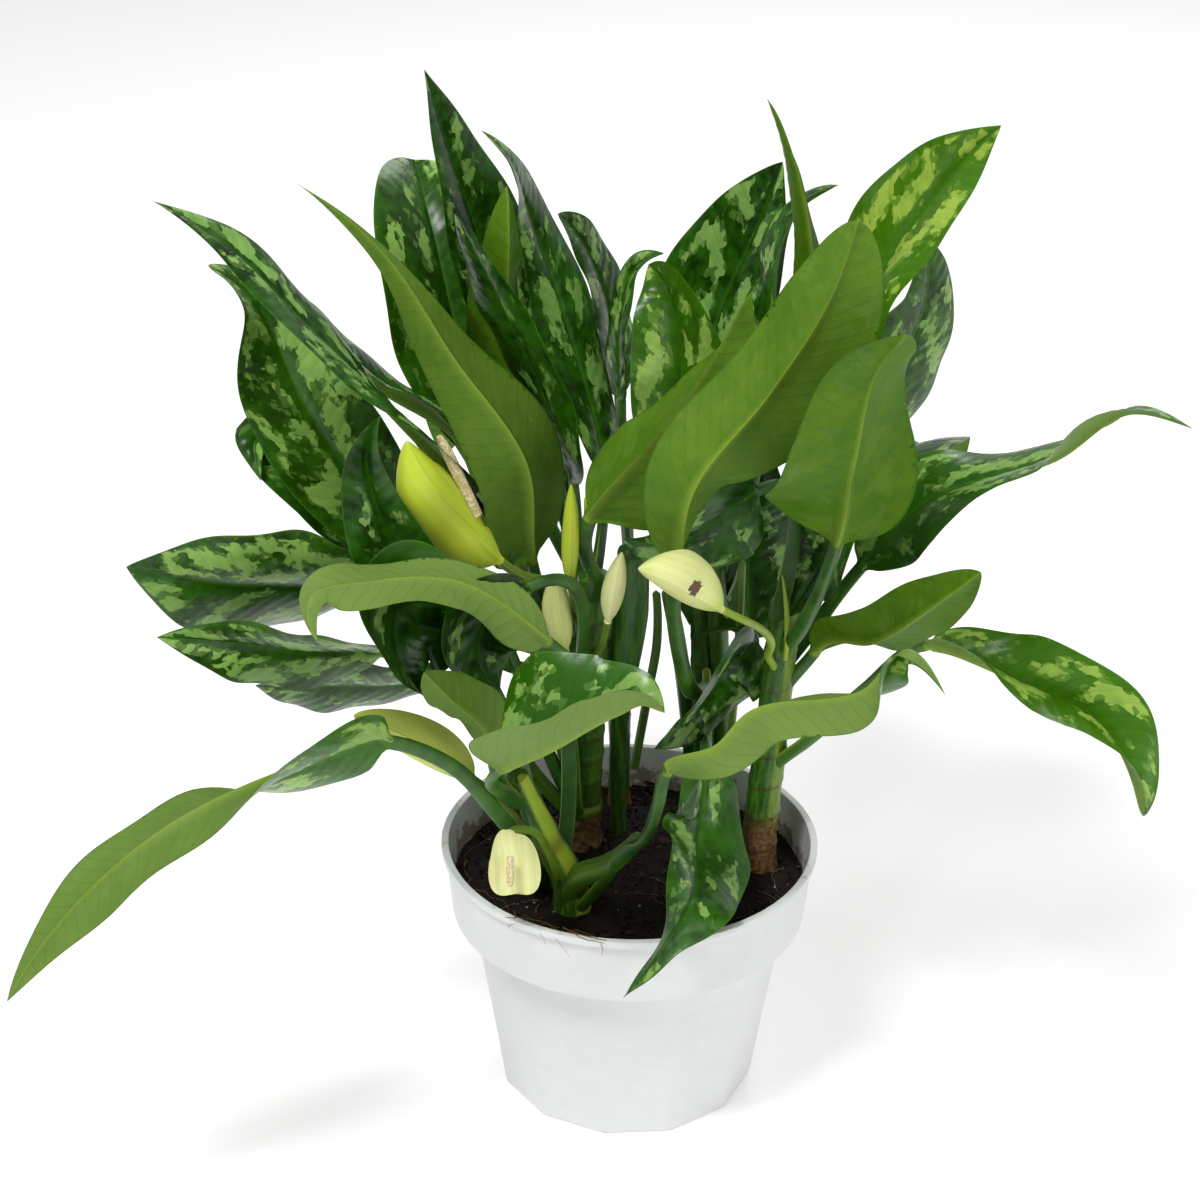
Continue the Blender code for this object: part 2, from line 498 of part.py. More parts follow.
def build():
    remove_all()
    group = new_collection("potted_chinese_evergreen")
    white = new_material("pot_plastic", (0.80, 0.81, 0.82), 0.38)
    earth = new_material("soil", (0.02, 0.012, 0.008), 0.95)
    bark = new_material("cane_green", (0.10, 0.16, 0.04), 0.5)
    green = new_material("leaf_green", (0.03, 0.12, 0.02), 0.35)
    cream = new_material("spathe_cream", (0.62, 0.66, 0.22), 0.5)
    pale = new_material("spadix_cream", (0.72, 0.66, 0.42), 0.7)

    add_mesh_object("pot", turned(pot_outline()), group, white)
    add_mesh_object("soil", turned(soil_outline()), group, earth)
    for name, cane in CANES.items():
        points = cane_points(cane)
        radii = [cane.radius, cane.radius, cane.radius * 0.85]
        rod("cane_" + name, points, radii, group, bark)
    for blade in BLADES:
        add_mesh_object(blade.name, blade_mesh(blade), group, green if blade.kind == "leaf" else cream)
    for spadix in SPADICES:
        low, high = above_rim(*spadix.low), above_rim(*spadix.high)
        points = [low, low.lerp(high, 0.1), low.lerp(high, 0.8), high]
        radii = [spadix.radius * share for share in (0.7, 1.0, 0.9, 0.4)]
        rod(spadix.name, points, radii, group, pale)


build()
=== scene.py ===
# Potted chinese evergreen: fine pot, soil, canes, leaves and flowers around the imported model.
import math
import random

import bmesh
import bpy
import numpy as np
from mathutils import Matrix, Vector, noise


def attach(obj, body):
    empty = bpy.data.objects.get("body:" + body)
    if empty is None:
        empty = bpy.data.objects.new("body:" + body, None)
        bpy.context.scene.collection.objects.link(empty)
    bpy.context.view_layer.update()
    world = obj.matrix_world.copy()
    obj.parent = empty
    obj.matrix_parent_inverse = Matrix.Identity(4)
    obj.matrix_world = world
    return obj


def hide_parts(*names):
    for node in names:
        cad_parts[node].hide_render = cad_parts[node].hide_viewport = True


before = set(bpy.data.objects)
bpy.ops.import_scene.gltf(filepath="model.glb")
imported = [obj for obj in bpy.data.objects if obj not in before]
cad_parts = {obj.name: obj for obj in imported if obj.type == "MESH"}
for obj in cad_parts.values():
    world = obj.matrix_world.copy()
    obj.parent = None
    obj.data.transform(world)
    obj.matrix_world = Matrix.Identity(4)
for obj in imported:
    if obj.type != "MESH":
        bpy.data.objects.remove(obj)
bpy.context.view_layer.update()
mm = 0.001
root = "root"
bpy.context.scene.view_settings.view_transform = "Standard"
print("frame loaded:", len(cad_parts), "nodes")


# camera, floor and light

camera = dict(place=(-0.013, -0.893, 0.663), pitch=26.7, roll=0.7, lens=78.57, sensor=36.0)


def addCamera(spec):
    data = bpy.data.cameras.new("camera")
    data.lens, data.sensor_width = spec["lens"], spec["sensor"]
    item = bpy.data.objects.new("camera", data)
    bpy.context.scene.collection.objects.link(item)
    pitch, roll = math.radians(spec["pitch"]), math.radians(spec["roll"])
    ahead = Vector((0, math.cos(pitch), -math.sin(pitch)))
    up = Vector((0, math.sin(pitch), math.cos(pitch)))
    right = Vector((1, 0, 0))
    side = right * math.cos(roll) + up * math.sin(roll)
    top = up * math.cos(roll) - right * math.sin(roll)
    turned = Matrix((side, top, -ahead)).transposed().to_4x4()
    item.matrix_world = Matrix.Translation(spec["place"]) @ turned
    bpy.context.scene.camera = item


addCamera(camera)

studio = dict(
    floorSize=8.0, floorColor=(0.90, 0.90, 0.90), floorRough=0.9, floorGlow=0.20,
    skyColor=(1.0, 1.0, 1.0), skySeen=1.0, skyLight=0.46,
    lights=[  # name, place, aim, size, watts
        ("key", (-0.55, -0.75, 1.75), (0, 0, 0.2), 0.45, 23.0),
        ("fill", (1.4, -1.3, 1.0), (0, 0, 0.2), 1.0, 8.0),
        ("back", (0.5, 1.5, 1.6), (0, 0, 0.25), 0.9, 13.0),
    ])


def addStudio(spec):
    bm = bmesh.new()
    bmesh.ops.create_grid(bm, x_segments=4, y_segments=4, size=spec["floorSize"] / 2)
    mesh = bpy.data.meshes.new("floor")
    bm.to_mesh(mesh)
    bm.free()
    floor = bpy.data.objects.new("floor", mesh)
    bpy.context.scene.collection.objects.link(floor)
    paint = bpy.data.materials.new("floorPaint")
    paint.use_nodes = True
    shader = paint.node_tree.nodes["Principled BSDF"]
    shader.inputs["Base Color"].default_value = (*spec["floorColor"], 1)
    shader.inputs["Roughness"].default_value = spec["floorRough"]
    shader.inputs["Emission Color"].default_value = (1, 1, 1, 1)
    shader.inputs["Emission Strength"].default_value = spec["floorGlow"]
    mesh.materials.append(paint)
    world = bpy.data.worlds.new("studio")
    world.use_nodes = True
    sky = world.node_tree.nodes["Background"]
    sky.inputs["Color"].default_value = (*spec["skyColor"], 1)
    seen = world.node_tree.nodes.new("ShaderNodeLightPath")  # paper-white behind, dimmer as a light
    level = world.node_tree.nodes.new("ShaderNodeMapRange")
    level.inputs["To Min"].default_value = spec["skyLight"]
    level.inputs["To Max"].default_value = spec["skySeen"]
    world.node_tree.links.new(seen.outputs["Is Camera Ray"], level.inputs["Value"])
    world.node_tree.links.new(level.outputs["Result"], sky.inputs["Strength"])
    bpy.context.scene.world = world
    for name, place, aim, size, watts in spec["lights"]:
        data = bpy.data.lights.new(name, "AREA")
        data.size, data.energy = size, watts
        lamp = bpy.data.objects.new(name, data)
        bpy.context.scene.collection.objects.link(lamp)
        away = (Vector(aim) - Vector(place)).to_track_quat("-Z", "Y")
        lamp.matrix_world = Matrix.Translation(place) @ away.to_matrix().to_4x4()


addStudio(studio)


# node helpers

def feed(tree, item, ins):  # values or links for a node's inputs
    for key, value in ins.items():
        if isinstance(value, bpy.types.NodeSocket):
            tree.links.new(value, item.inputs[key])
        else:
            item.inputs[key].default_value = value
    return item


def put(tree, kind, ins=None, **props):  # a node with its settings and inputs
    item = tree.nodes.new(kind)
    for key, value in props.items():
        setattr(item, key, value)
    return feed(tree, item, ins or {})


def calc(tree, operation, *values):
    return put(tree, "ShaderNodeMath", dict(enumerate(values)), operation=operation).outputs[0]


def times(tree, first, second):
    return calc(tree, "MULTIPLY", first, second)


def plus(tree, first, second):
    return calc(tree, "ADD", first, second)


def minus(tree, first, second):
    return calc(tree, "SUBTRACT", first, second)


def speckle(tree, where, scale, detail, rough=0.5):  # plain noise, as a value
    ins = {"Vector": where, "Scale": scale, "Detail": detail, "Roughness": rough}
    return put(tree, "ShaderNodeTexNoise", ins).outputs[0]


def blendColor(tree, share, first, second):
    item = put(tree, "ShaderNodeMix", {"Factor": share}, data_type="RGBA")
    ends = [value if isinstance(value, bpy.types.NodeSocket) else (*value, 1) for value in (first, second)]
    return feed(tree, item, {6: ends[0], 7: ends[1]}).outputs[2]


def soften(tree, value, low, high, outLow=0.0, outHigh=1.0):  # a smooth step between low and high
    item = put(tree, "ShaderNodeMapRange", {"Value": value, "From Min": low, "From Max": high,
               "To Min": outLow, "To Max": outHigh}, interpolation_type="SMOOTHSTEP")
    return item.outputs["Result"]


def stretched(tree, where, scale):
    return put(tree, "ShaderNodeMapping", {"Vector": where, "Scale": scale}).outputs[0]


def newGroup(name, inputs, outputs):
    tree = bpy.data.node_groups.new(name, "ShaderNodeTree")
    for label, kind, value in inputs:
        socket = tree.interface.new_socket(label, in_out="INPUT", socket_type=kind)
        if value is not None:
            socket.default_value = value
    for label, kind in outputs:
        tree.interface.new_socket(label, in_out="OUTPUT", socket_type=kind)
    ends = tree.nodes.new("NodeGroupInput"), tree.nodes.new("NodeGroupOutput")
    return tree, ends[0].outputs, ends[1].inputs


def useGroup(tree, group, ins):
    return put(tree, "ShaderNodeGroup", ins, node_tree=group).outputs


def newMaterial(name, **constants):  # constants go straight on the shader's own sockets
    paint = bpy.data.materials.new(name)
    paint.use_nodes = True
    tree = paint.node_tree
    shader = tree.nodes["Principled BSDF"]
    for key, value in constants.items():
        label = {"coatRough": "Coat Roughness", "specular": "Specular IOR Level"}[key]
        shader.inputs[label].default_value = value
    return paint, tree, shader


def finishShader(tree, shader, color, rough, height=None, strength=0.3, distance=0.001, coat=None):
    tree.links.new(color, shader.inputs["Base Color"])
    tree.links.new(rough, shader.inputs["Roughness"])
    if coat is not None:
        tree.links.new(coat, shader.inputs["Coat Weight"])
    if height is not None:
        bump = put(tree, "ShaderNodeBump", {"Strength": strength, "Distance": distance, "Height": height})
        tree.links.new(bump.outputs["Normal"], shader.inputs["Normal"])


# Uneven colour: two sizes of noise, as a value about 0.5
def makeMottle():
    tree, ins, outs = newGroup(
        "mottle",
        [("Vector", "NodeSocketVector", None), ("Scale", "NodeSocketFloat", 40.0),
         ("Fine", "NodeSocketFloat", 5.0)],
        [("Value", "NodeSocketFloat")])
    broad = put(tree, "ShaderNodeTexNoise", {"Vector": ins["Vector"], "Scale": ins["Scale"], "Detail": 3.0})
    finer = times(tree, ins["Scale"], ins["Fine"])
    small = put(tree, "ShaderNodeTexNoise", {"Vector": ins["Vector"], "Scale": finer, "Detail": 2.0})
    both = plus(tree, times(tree, broad.outputs[0], 0.65), times(tree, small.outputs[0], 0.35))
    tree.links.new(both, outs["Value"])
    return tree


mottle = makeMottle()


def unevenness(tree, where, scale, fine):
    return useGroup(tree, mottle, {"Vector": where, "Scale": scale, "Fine": fine})["Value"]


# Side veins that leave the midrib at a slant, and the ragged silver patches that follow them.
# Place is (distance along, distance across, seed), in cm.
leafMarks = dict(veinSlant=0.85, veinGap=0.62, patchSlant=0.30, patchAlong=0.80, patchAcross=1.25,
                 blotScale=0.88, cells=4.6, jag=0.92, limit=0.694, silverPull=0.222, wander=0.7)


def makeLeafMarks(spec):
    tree, ins, outs = newGroup(
        "leafMarks",
        [("Place", "NodeSocketVector", None), ("Across", "NodeSocketFloat", 0.0),
         ("Silver", "NodeSocketFloat", 0.5)],
        [("Patch", "NodeSocketFloat"), ("Vein", "NodeSocketFloat"), ("Ridge", "NodeSocketFloat"),
         ("Fleck", "NodeSocketFloat")])
    parts = put(tree, "ShaderNodeSeparateXYZ", {"Vector": ins["Place"]})
    out = calc(tree, "ABSOLUTE", parts.outputs["Y"])
    rise = times(tree, out, spec["veinSlant"])
    slanted = minus(tree, parts.outputs["X"], rise)
    side = calc(tree, "SIGN", parts.outputs["Y"])
    seed = plus(tree, times(tree, side, 3.7), parts.outputs["Z"])
    wobble = put(tree, "ShaderNodeTexNoise", {"Vector": ins["Place"], "Scale": spec["wander"], "Detail": 1.0})
    drift = times(tree, minus(tree, wobble.outputs[0], 0.5), 0.5)
    phase = calc(tree, "DIVIDE", plus(tree, slanted, drift), spec["veinGap"])
    turn = times(tree, phase, 2 * math.pi)
    swing = calc(tree, "COSINE", turn)
    vein = soften(tree, swing, 0.90, 1.0)
    leaned = minus(tree, parts.outputs["X"], times(tree, out, spec["patchSlant"]))
    field = put(tree, "ShaderNodeCombineXYZ", {
        "X": times(tree, leaned, spec["patchAlong"]),
        "Y": times(tree, out, spec["patchAcross"]), "Z": seed}).outputs[0]
    cells = put(tree, "ShaderNodeTexVoronoi", {"Vector": field, "Scale": spec["cells"], "Randomness": 1.0})
    jagged = put(tree, "ShaderNodeMix", {4: field, 5: cells.outputs["Position"]}, data_type="VECTOR")
    jagged.inputs["Factor"].default_value = spec["jag"]
    blots = put(tree, "ShaderNodeTexNoise", {"Vector": jagged.outputs[1], "Scale": spec["blotScale"],
                "Detail": 3.0, "Roughness": 0.55})
    across = calc(tree, "ABSOLUTE", ins["Across"])
    room = times(tree, times(tree, across, minus(tree, 1.0, across)), 4.0)
    lift = soften(tree, room, 0.0, 0.75, -0.14, 0.015)
    score = plus(tree, plus(tree, blots.outputs[0], lift), times(tree, swing, -0.012))
    limit = minus(tree, spec["limit"], times(tree, ins["Silver"], spec["silverPull"]))
    over = minus(tree, score, limit)
    patch = soften(tree, over, -0.004, 0.006)
    fleck = soften(tree, over, -0.042, -0.034)
    tree.links.new(patch, outs["Patch"])
    tree.links.new(vein, outs["Vein"])
    tree.links.new(swing, outs["Ridge"])
    tree.links.new(fleck, outs["Fleck"])
    return tree


marks = makeLeafMarks(leafMarks)


# materials of the plant

leafColors = dict(deep=(0.0022, 0.018, 0.0011), mid=(0.021, 0.108, 0.0016), silver=(0.215, 0.400, 0.095),
                  limePatch=(0.37, 0.53, 0.060), limeGround=(0.082, 0.240, 0.0035), rib=(0.055, 0.190, 0.012),
                  under=(0.050, 0.140, 0.0016), underPale=(0.088, 0.185, 0.0040),
                  underGrey=(0.185, 0.280, 0.070), underRib=(0.230, 0.350, 0.040),
                  underVein=(0.034, 0.105, 0.0016))


def readFact(tree, name):  # an attribute of the mesh, in three parts
    fact = put(tree, "ShaderNodeAttribute", attribute_name=name).outputs["Vector"]
    return put(tree, "ShaderNodeSeparateXYZ", {"Vector": fact}).outputs


def leafInputs(tree):
    place = put(tree, "ShaderNodeAttribute", attribute_name="leafPlace").outputs["Vector"]
    return place, readFact(tree, "leafShare"), readFact(tree, "leafTint")


def makeLeafTop(colors):
    paint, tree, shader = newMaterial("leafTop", coatRough=0.20, specular=0.22)
    place, share, tint = leafInputs(tree)
    found = useGroup(tree, marks, {"Place": place, "Across": share["Y"], "Silver": tint["X"]})
    cloud = unevenness(tree, place, 0.55, 4.0)
    ground = blendColor(tree, soften(tree, cloud, 0.32, 0.68), colors["deep"], colors["mid"])
    ground = blendColor(tree, tint["Z"], ground, colors["mid"])
    ground = blendColor(tree, times(tree, tint["Y"], 0.75), ground, colors["limeGround"])
    silver = blendColor(tree, tint["Y"], colors["silver"], colors["limePatch"])
    silver = blendColor(tree, soften(tree, cloud, 0.30, 0.75, 0.0, 0.40), silver, colors["mid"])
    halo = times(tree, found["Fleck"], 0.30)
    color = blendColor(tree, found["Patch"], blendColor(tree, halo, ground, silver), silver)
    veins = times(tree, found["Vein"], 0.16)
    color = blendColor(tree, veins, color, colors["deep"])
    color = blendColor(tree, times(tree, share["Z"], 0.55), color, colors["rib"])
    edge = soften(tree, calc(tree, "ABSOLUTE", share["Y"]), 0.955, 0.995, 0.0, 0.55)
    color = blendColor(tree, edge, color, colors["rib"])
    rough = soften(tree, cloud, 0.3, 0.7, 0.26, 0.38)
    wave = times(tree, found["Ridge"], -0.5)
    grain = speckle(tree, place, 14.0, 3.0)
    height = plus(tree, wave, times(tree, grain, 0.35))
    coat = soften(tree, cloud, 0.35, 0.65, 0.05, 0.20)
    finishShader(tree, shader, color, rough, height, 0.35, 0.00025, coat)
    return paint


def makeLeafUnder(colors):
    paint, tree, shader = newMaterial("leafUnder", specular=0.12)
    place, share, tint = leafInputs(tree)
    found = useGroup(tree, marks, {"Place": place, "Across": share["Y"], "Silver": tint["X"]})
    cloud = unevenness(tree, place, 0.5, 4.0)
    color = blendColor(tree, soften(tree, cloud, 0.3, 0.7), colors["under"], colors["underPale"])
    color = blendColor(tree, tint["Z"], color, colors["underGrey"])
    color = blendColor(tree, times(tree, found["Patch"], 0.12), color, colors["underGrey"])
    color = blendColor(tree, times(tree, found["Vein"], 0.16), color, colors["underVein"])
    color = blendColor(tree, times(tree, share["Z"], 0.8), color, colors["underRib"])
    edge = soften(tree, calc(tree, "ABSOLUTE", share["Y"]), 0.95, 0.99, 0.0, 0.5)
    color = blendColor(tree, edge, color, colors["mid"])
    rough = soften(tree, cloud, 0.3, 0.7, 0.46, 0.60)
    grain = speckle(tree, place, 18.0, 3.0)
    height = plus(tree, times(tree, found["Vein"], 0.8), times(tree, grain, 0.4))
    finishShader(tree, shader, color, rough, height, 0.35, 0.00025)
    return paint


stalkColors = dict(dark=(0.010, 0.055, 0.0035), light=(0.050, 0.165, 0.0080), pale=(0.30, 0.42, 0.024),
                   scar=(0.095, 0.038, 0.012), bark=(0.24, 0.130, 0.045))


def makeStalkSkin(colors):  # leafShare holds (share of the stalk, paleness, margin)
    paint, tree, shader = newMaterial("stalkGreen", specular=0.5)
    place, share = leafInputs(tree)[:2]
    streaks = stretched(tree, place, (0.35, 6.0, 1.0))
    cloud = unevenness(tree, streaks, 1.0, 4.0)
    color = blendColor(tree, soften(tree, cloud, 0.3, 0.7), colors["dark"], colors["light"])
    color = blendColor(tree, share["Y"], color, colors["pale"])
    color = blendColor(tree, times(tree, share["Z"], 0.6), color, colors["pale"])
    rough = soften(tree, cloud, 0.3, 0.7, 0.36, 0.50)
    finishShader(tree, shader, color, rough, cloud, 0.25, 0.0003)
    return paint


def makeCaneSkin(colors):  # leafShare holds (share of the cane, bark, scar)
    paint, tree, shader = newMaterial("caneGreen", specular=0.4)
    place, share, tint = leafInputs(tree)
    streaks = stretched(tree, place, (0.5, 4.0, 1.0))
    cloud = unevenness(tree, streaks, 1.2, 5.0)
    spots = speckle(tree, place, 5.0, 4.0, 0.7)
    color = blendColor(tree, soften(tree, cloud, 0.3, 0.7), colors["dark"], colors["light"])
    stripe = plus(tree, soften(tree, cloud, 0.48, 0.60, 0.0, 0.25), soften(tree, tint["Y"], 0.74, 0.92))
    color = blendColor(tree, times(tree, stripe, times(tree, tint["X"], 1.6)), color, colors["pale"])
    rind = blendColor(tree, soften(tree, spots, 0.4, 0.62), colors["bark"], colors["scar"])
    ragged = times(tree, minus(tree, spots, 0.5), 0.9)
    worn = soften(tree, plus(tree, share["Y"], ragged), 0.40, 0.60)
    color = blendColor(tree, worn, color, rind)
    color = blendColor(tree, times(tree, share["Z"], 0.55), color, colors["scar"])
    rough = soften(tree, worn, 0.0, 1.0, 0.42, 0.80)
    height = plus(tree, spots, times(tree, share["Z"], 0.6))
    finishShader(tree, shader, color, rough, height, 0.5, 0.0006)
    return paint


spatheColors = dict(lime=(0.50, 0.60, 0.018), cream=(0.80, 0.78, 0.40), green=(0.26, 0.42, 0.020),
                    stain=(0.10, 0.05, 0.02))


def makeSpatheSkin(colors):  # leafTint holds (cream, green, stain)
    paint, tree, shader = newMaterial("spatheSkin", specular=0.45)
    place, share, tint = leafInputs(tree)
    ribs = stretched(tree, place, (0.25, 5.0, 1.0))
    cloud = unevenness(tree, ribs, 1.0, 3.0)
    color = blendColor(tree, tint["X"], colors["lime"], colors["cream"])
    color = blendColor(tree, soften(tree, cloud, 0.35, 0.75, 0.0, 0.30), color, colors["green"])
    base = soften(tree, share["X"], 0.0, 0.30, 0.65, 0.0)
    color = blendColor(tree, times(tree, base, tint["Y"]), color, colors["green"])
    tipward = soften(tree, share["X"], 0.80, 1.0, 0.0, 0.45)
    color = blendColor(tree, times(tree, tipward, tint["Y"]), color, colors["green"])
    ragged = speckle(tree, place, 6.0, 3.0)
    alongGap = times(tree, minus(tree, share["X"], 0.42), 3.0)
    acrossGap = minus(tree, share["Y"], -0.15)
    away = plus(tree, times(tree, alongGap, alongGap), times(tree, acrossGap, acrossGap))
    away = plus(tree, away, times(tree, minus(tree, ragged, 0.5), 0.10))
    spotAt = soften(tree, away, 0.022, 0.040, 1.0, 0.0)
    color = blendColor(tree, times(tree, spotAt, tint["Z"]), color, colors["stain"])
    rough = soften(tree, cloud, 0.3, 0.7, 0.38, 0.52)
    finishShader(tree, shader, color, rough, cloud, 0.30, 0.0004)
    return paint


def makeSpadixSkin():
    paint, tree, shader = newMaterial("spadixSkin", specular=0.3)
    where = put(tree, "ShaderNodeTexCoord").outputs["Object"]
    cells = put(tree, "ShaderNodeTexVoronoi", {"Vector": where, "Scale": 900.0})
    cloud = unevenness(tree, where, 90.0, 4.0)
    color = blendColor(tree, soften(tree, cloud, 0.40, 0.62), (0.80, 0.74, 0.46), (0.58, 0.47, 0.22))
    grains = soften(tree, cells.outputs["Distance"], 0.3, 0.8, 0.0, 0.5)
    color = blendColor(tree, grains, color, (0.40, 0.27, 0.09))
    rough = soften(tree, cloud, 0.3, 0.7, 0.6, 0.85)
    finishShader(tree, shader, color, rough, times(tree, cells.outputs["Distance"], -1.0), 0.5, 0.0005)
    return paint


leafTop, leafUnder = makeLeafTop(leafColors), makeLeafUnder(leafColors)
stalkGreen, caneGreen = makeStalkSkin(stalkColors), makeCaneSkin(stalkColors)
spatheSkin, spadixSkin = makeSpatheSkin(spatheColors), makeSpadixSkin()
print("materials made")


# grid pieces: rows of points round a section, closed into one skin

def addPiece(name, bm, materials, smoothAngle=40, stands=()):
    mesh = bpy.data.meshes.new(name)
    bm.to_mesh(mesh)
    bm.free()
    mesh.shade_smooth()
    mesh.set_sharp_from_angle(angle=math.radians(smoothAngle))
    for paint in materials:
        mesh.materials.append(paint)
    item = bpy.data.objects.new(name, mesh)
    bpy.context.scene.collection.objects.link(item)
    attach(item, root)
    if stands:
        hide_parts(*stands)


def skin(points, facts, paints=None):
    # points: rows x columns x 3, the last column on the first. facts: named vectors for each point.
    rows, columns = points.shape[:2]
    bm = bmesh.new()
    bmesh.ops.create_grid(bm, x_segments=columns - 1, y_segments=rows - 1, size=1)
    layers = {name: bm.verts.layers.float_vector.new(name) for name in facts}
    spots = {}
    for vert in bm.verts:
        column = round((vert.co.x + 1) / 2 * (columns - 1))
        row = round((vert.co.y + 1) / 2 * (rows - 1))
        spots[vert.index] = (row, column)
    for face in bm.faces:
        row = min(spots[vert.index][0] for vert in face.verts)
        column = min(spots[vert.index][1] for vert in face.verts)
        face.material_index = int(paints[row, column]) if paints is not None else 0
    for vert in bm.verts:
        spot = spots[vert.index]
        vert.co = points[spot]
        for name, values in facts.items():
            vert[layers[name]] = values[spot]
    bmesh.ops.remove_doubles(bm, verts=bm.verts, dist=0.004 * mm)
    rims = [edge for edge in bm.edges if edge.is_boundary]
    bmesh.ops.holes_fill(bm, edges=rims, sides=columns + 2)
    bmesh.ops.recalc_face_normals(bm, faces=bm.faces)
    return bm


def unit(vectors):
    return vectors / np.maximum(np.linalg.norm(vectors, axis=-1, keepdims=True), 1e-12)


def smoothCurve(points):  # a smooth line through the points, as its knots and a function of length
    points = np.array(points, float)
    chords = np.diff(points, axis=0)
    spans = np.linalg.norm(chords, axis=1)
    slopes = chords / spans[:, None]
    knots = np.concatenate([[0.0], np.cumsum(spans)])
    before, after = spans[:-1, None], spans[1:, None]
    inner = (slopes[:-1] * after + slopes[1:] * before) / (before + after)
    if len(spans) == 1:
        tangents = np.vstack([slopes[0], slopes[0]])
    else:
        tangents = np.vstack([2 * slopes[0] - inner[0], inner, 2 * slopes[-1] - inner[-1]])

    def at(lengths):
        lengths = np.atleast_1d(lengths)
        span = np.clip(np.searchsorted(knots, lengths, side="right") - 1, 0, len(spans) - 1)
        size = spans[span][:, None]
        t = (lengths - knots[span])[:, None] / size
        ends = (2 * t**3 - 3 * t**2 + 1) * points[span] + (3 * t**2 - 2 * t**3) * points[span + 1]
        pulls = (t**3 - 2 * t**2 + t) * tangents[span] + (t**3 - t**2) * tangents[span + 1]
        return ends + size * pulls

    return knots, at


def compass(azimuth, elevation):
    a, e = math.radians(azimuth), math.radians(elevation)
    return np.array([math.cos(a) * math.cos(e), math.sin(a) * math.cos(e), math.sin(e)])


def ringPoints(place, side, up, radius, angles):  # closed rings of points round a line
    points = place[:, None] + side[:, None] * (radius * np.cos(angles))[..., None]
    points = points + up[:, None] * (radius * np.sin(angles))[..., None]
    points[:, -1] = points[:, 0]
    return points


def stacked(*parts):  # numbers and arrays stretched to one size, as vectors
    return np.stack(np.broadcast_arrays(*parts), -1)


def tubeFrames(at, lengths, last):  # places on a line and two cross directions there, without twist
    place = at(lengths)
    along = unit(at(np.minimum(lengths + 0.5, last)) - at(np.maximum(lengths - 0.5, 0.0)))
    side = np.cross(along[0], (0.3, 0.9, 0.1))
    sides = []
    for heading in along:
        side = unit(side - heading * np.dot(side, heading))
        sides.append(side)
    sides = np.array(sides)
    return place, sides, np.cross(along, sides)


# pot

pot = dict(  # mm
    height=108.0, rim=75.0, lip=1.6, lipDepth=3.0, collar=30.0, collarTaper=2.4, ledge=7.5, bodyTaper=11.5,
    wall=1.3, floor=2.0, facets=12, facetTurn=-85.0, steps=144,
    wobble=0.35, wobblePitch=22.0, curves=(0, 1.6, 2.2, 1.2, 0.5, 0.7, 0.55, 0.45, 0.8, 0.8, 1.0, 0))
collarTop = pot["rim"] - pot["lip"]
collarFoot = collarTop - pot["collarTaper"]
bodyTop = collarFoot - pot["ledge"]
baseRadius = bodyTop - pot["bodyTaper"]
ledgeHeight = pot["height"] - pot["collar"]


def collarInside(height):
    return collarTop - pot["collarTaper"] * (pot["height"] - height) / pot["collar"] - pot["wall"]


def spunProfile(profile, steps):  # a line of (radius, height) in mm turned about the pot's axis
    bm = bmesh.new()
    verts = [bm.verts.new((radius * mm, 0, height * mm)) for radius, height in profile]
    edges = [bm.edges.new(pair) for pair in zip(verts, verts[1:])]
    bmesh.ops.spin(bm, geom=verts + edges, cent=(0, 0, 0), axis=(0, 0, 1), angle=2 * math.pi, steps=steps,
                   use_merge=True)
    bmesh.ops.remove_doubles(bm, verts=bm.verts, dist=0.004 * mm)
    bmesh.ops.recalc_face_normals(bm, faces=bm.faces)
    return bm


def facetDraw(co, spec):  # draws the round wall in to flats toward the base
    half = math.pi / spec["facets"]
    share = min(max(1 - co.z / mm / ledgeHeight, 0.0), 1.0)
    angle = math.atan2(co.y, co.x) - math.radians(spec["facetTurn"])
    off = (angle + half) % (2 * half) - half
    factor = 1 - share * (1 - math.cos(half) / math.cos(off))
    return Vector((co.x * factor, co.y * factor, co.z))


def between(low, high, count):
    low, high = np.array(low), np.array(high)
    return [tuple(low + (high - low) * i / count) for i in range(1, count + 1)]


def rounded(corner, before, after, radius, count=4):  # a small curve in place of a sharp corner
    corner, before, after = np.array(corner), np.array(before), np.array(after)
    start, end = corner + unit(before - corner) * radius, corner + unit(after - corner) * radius
    shares = [i / count for i in range(count + 1)]
    return [tuple((1 - t)**2 * start + 2 * t * (1 - t) * corner + t**2 * end) for t in shares]


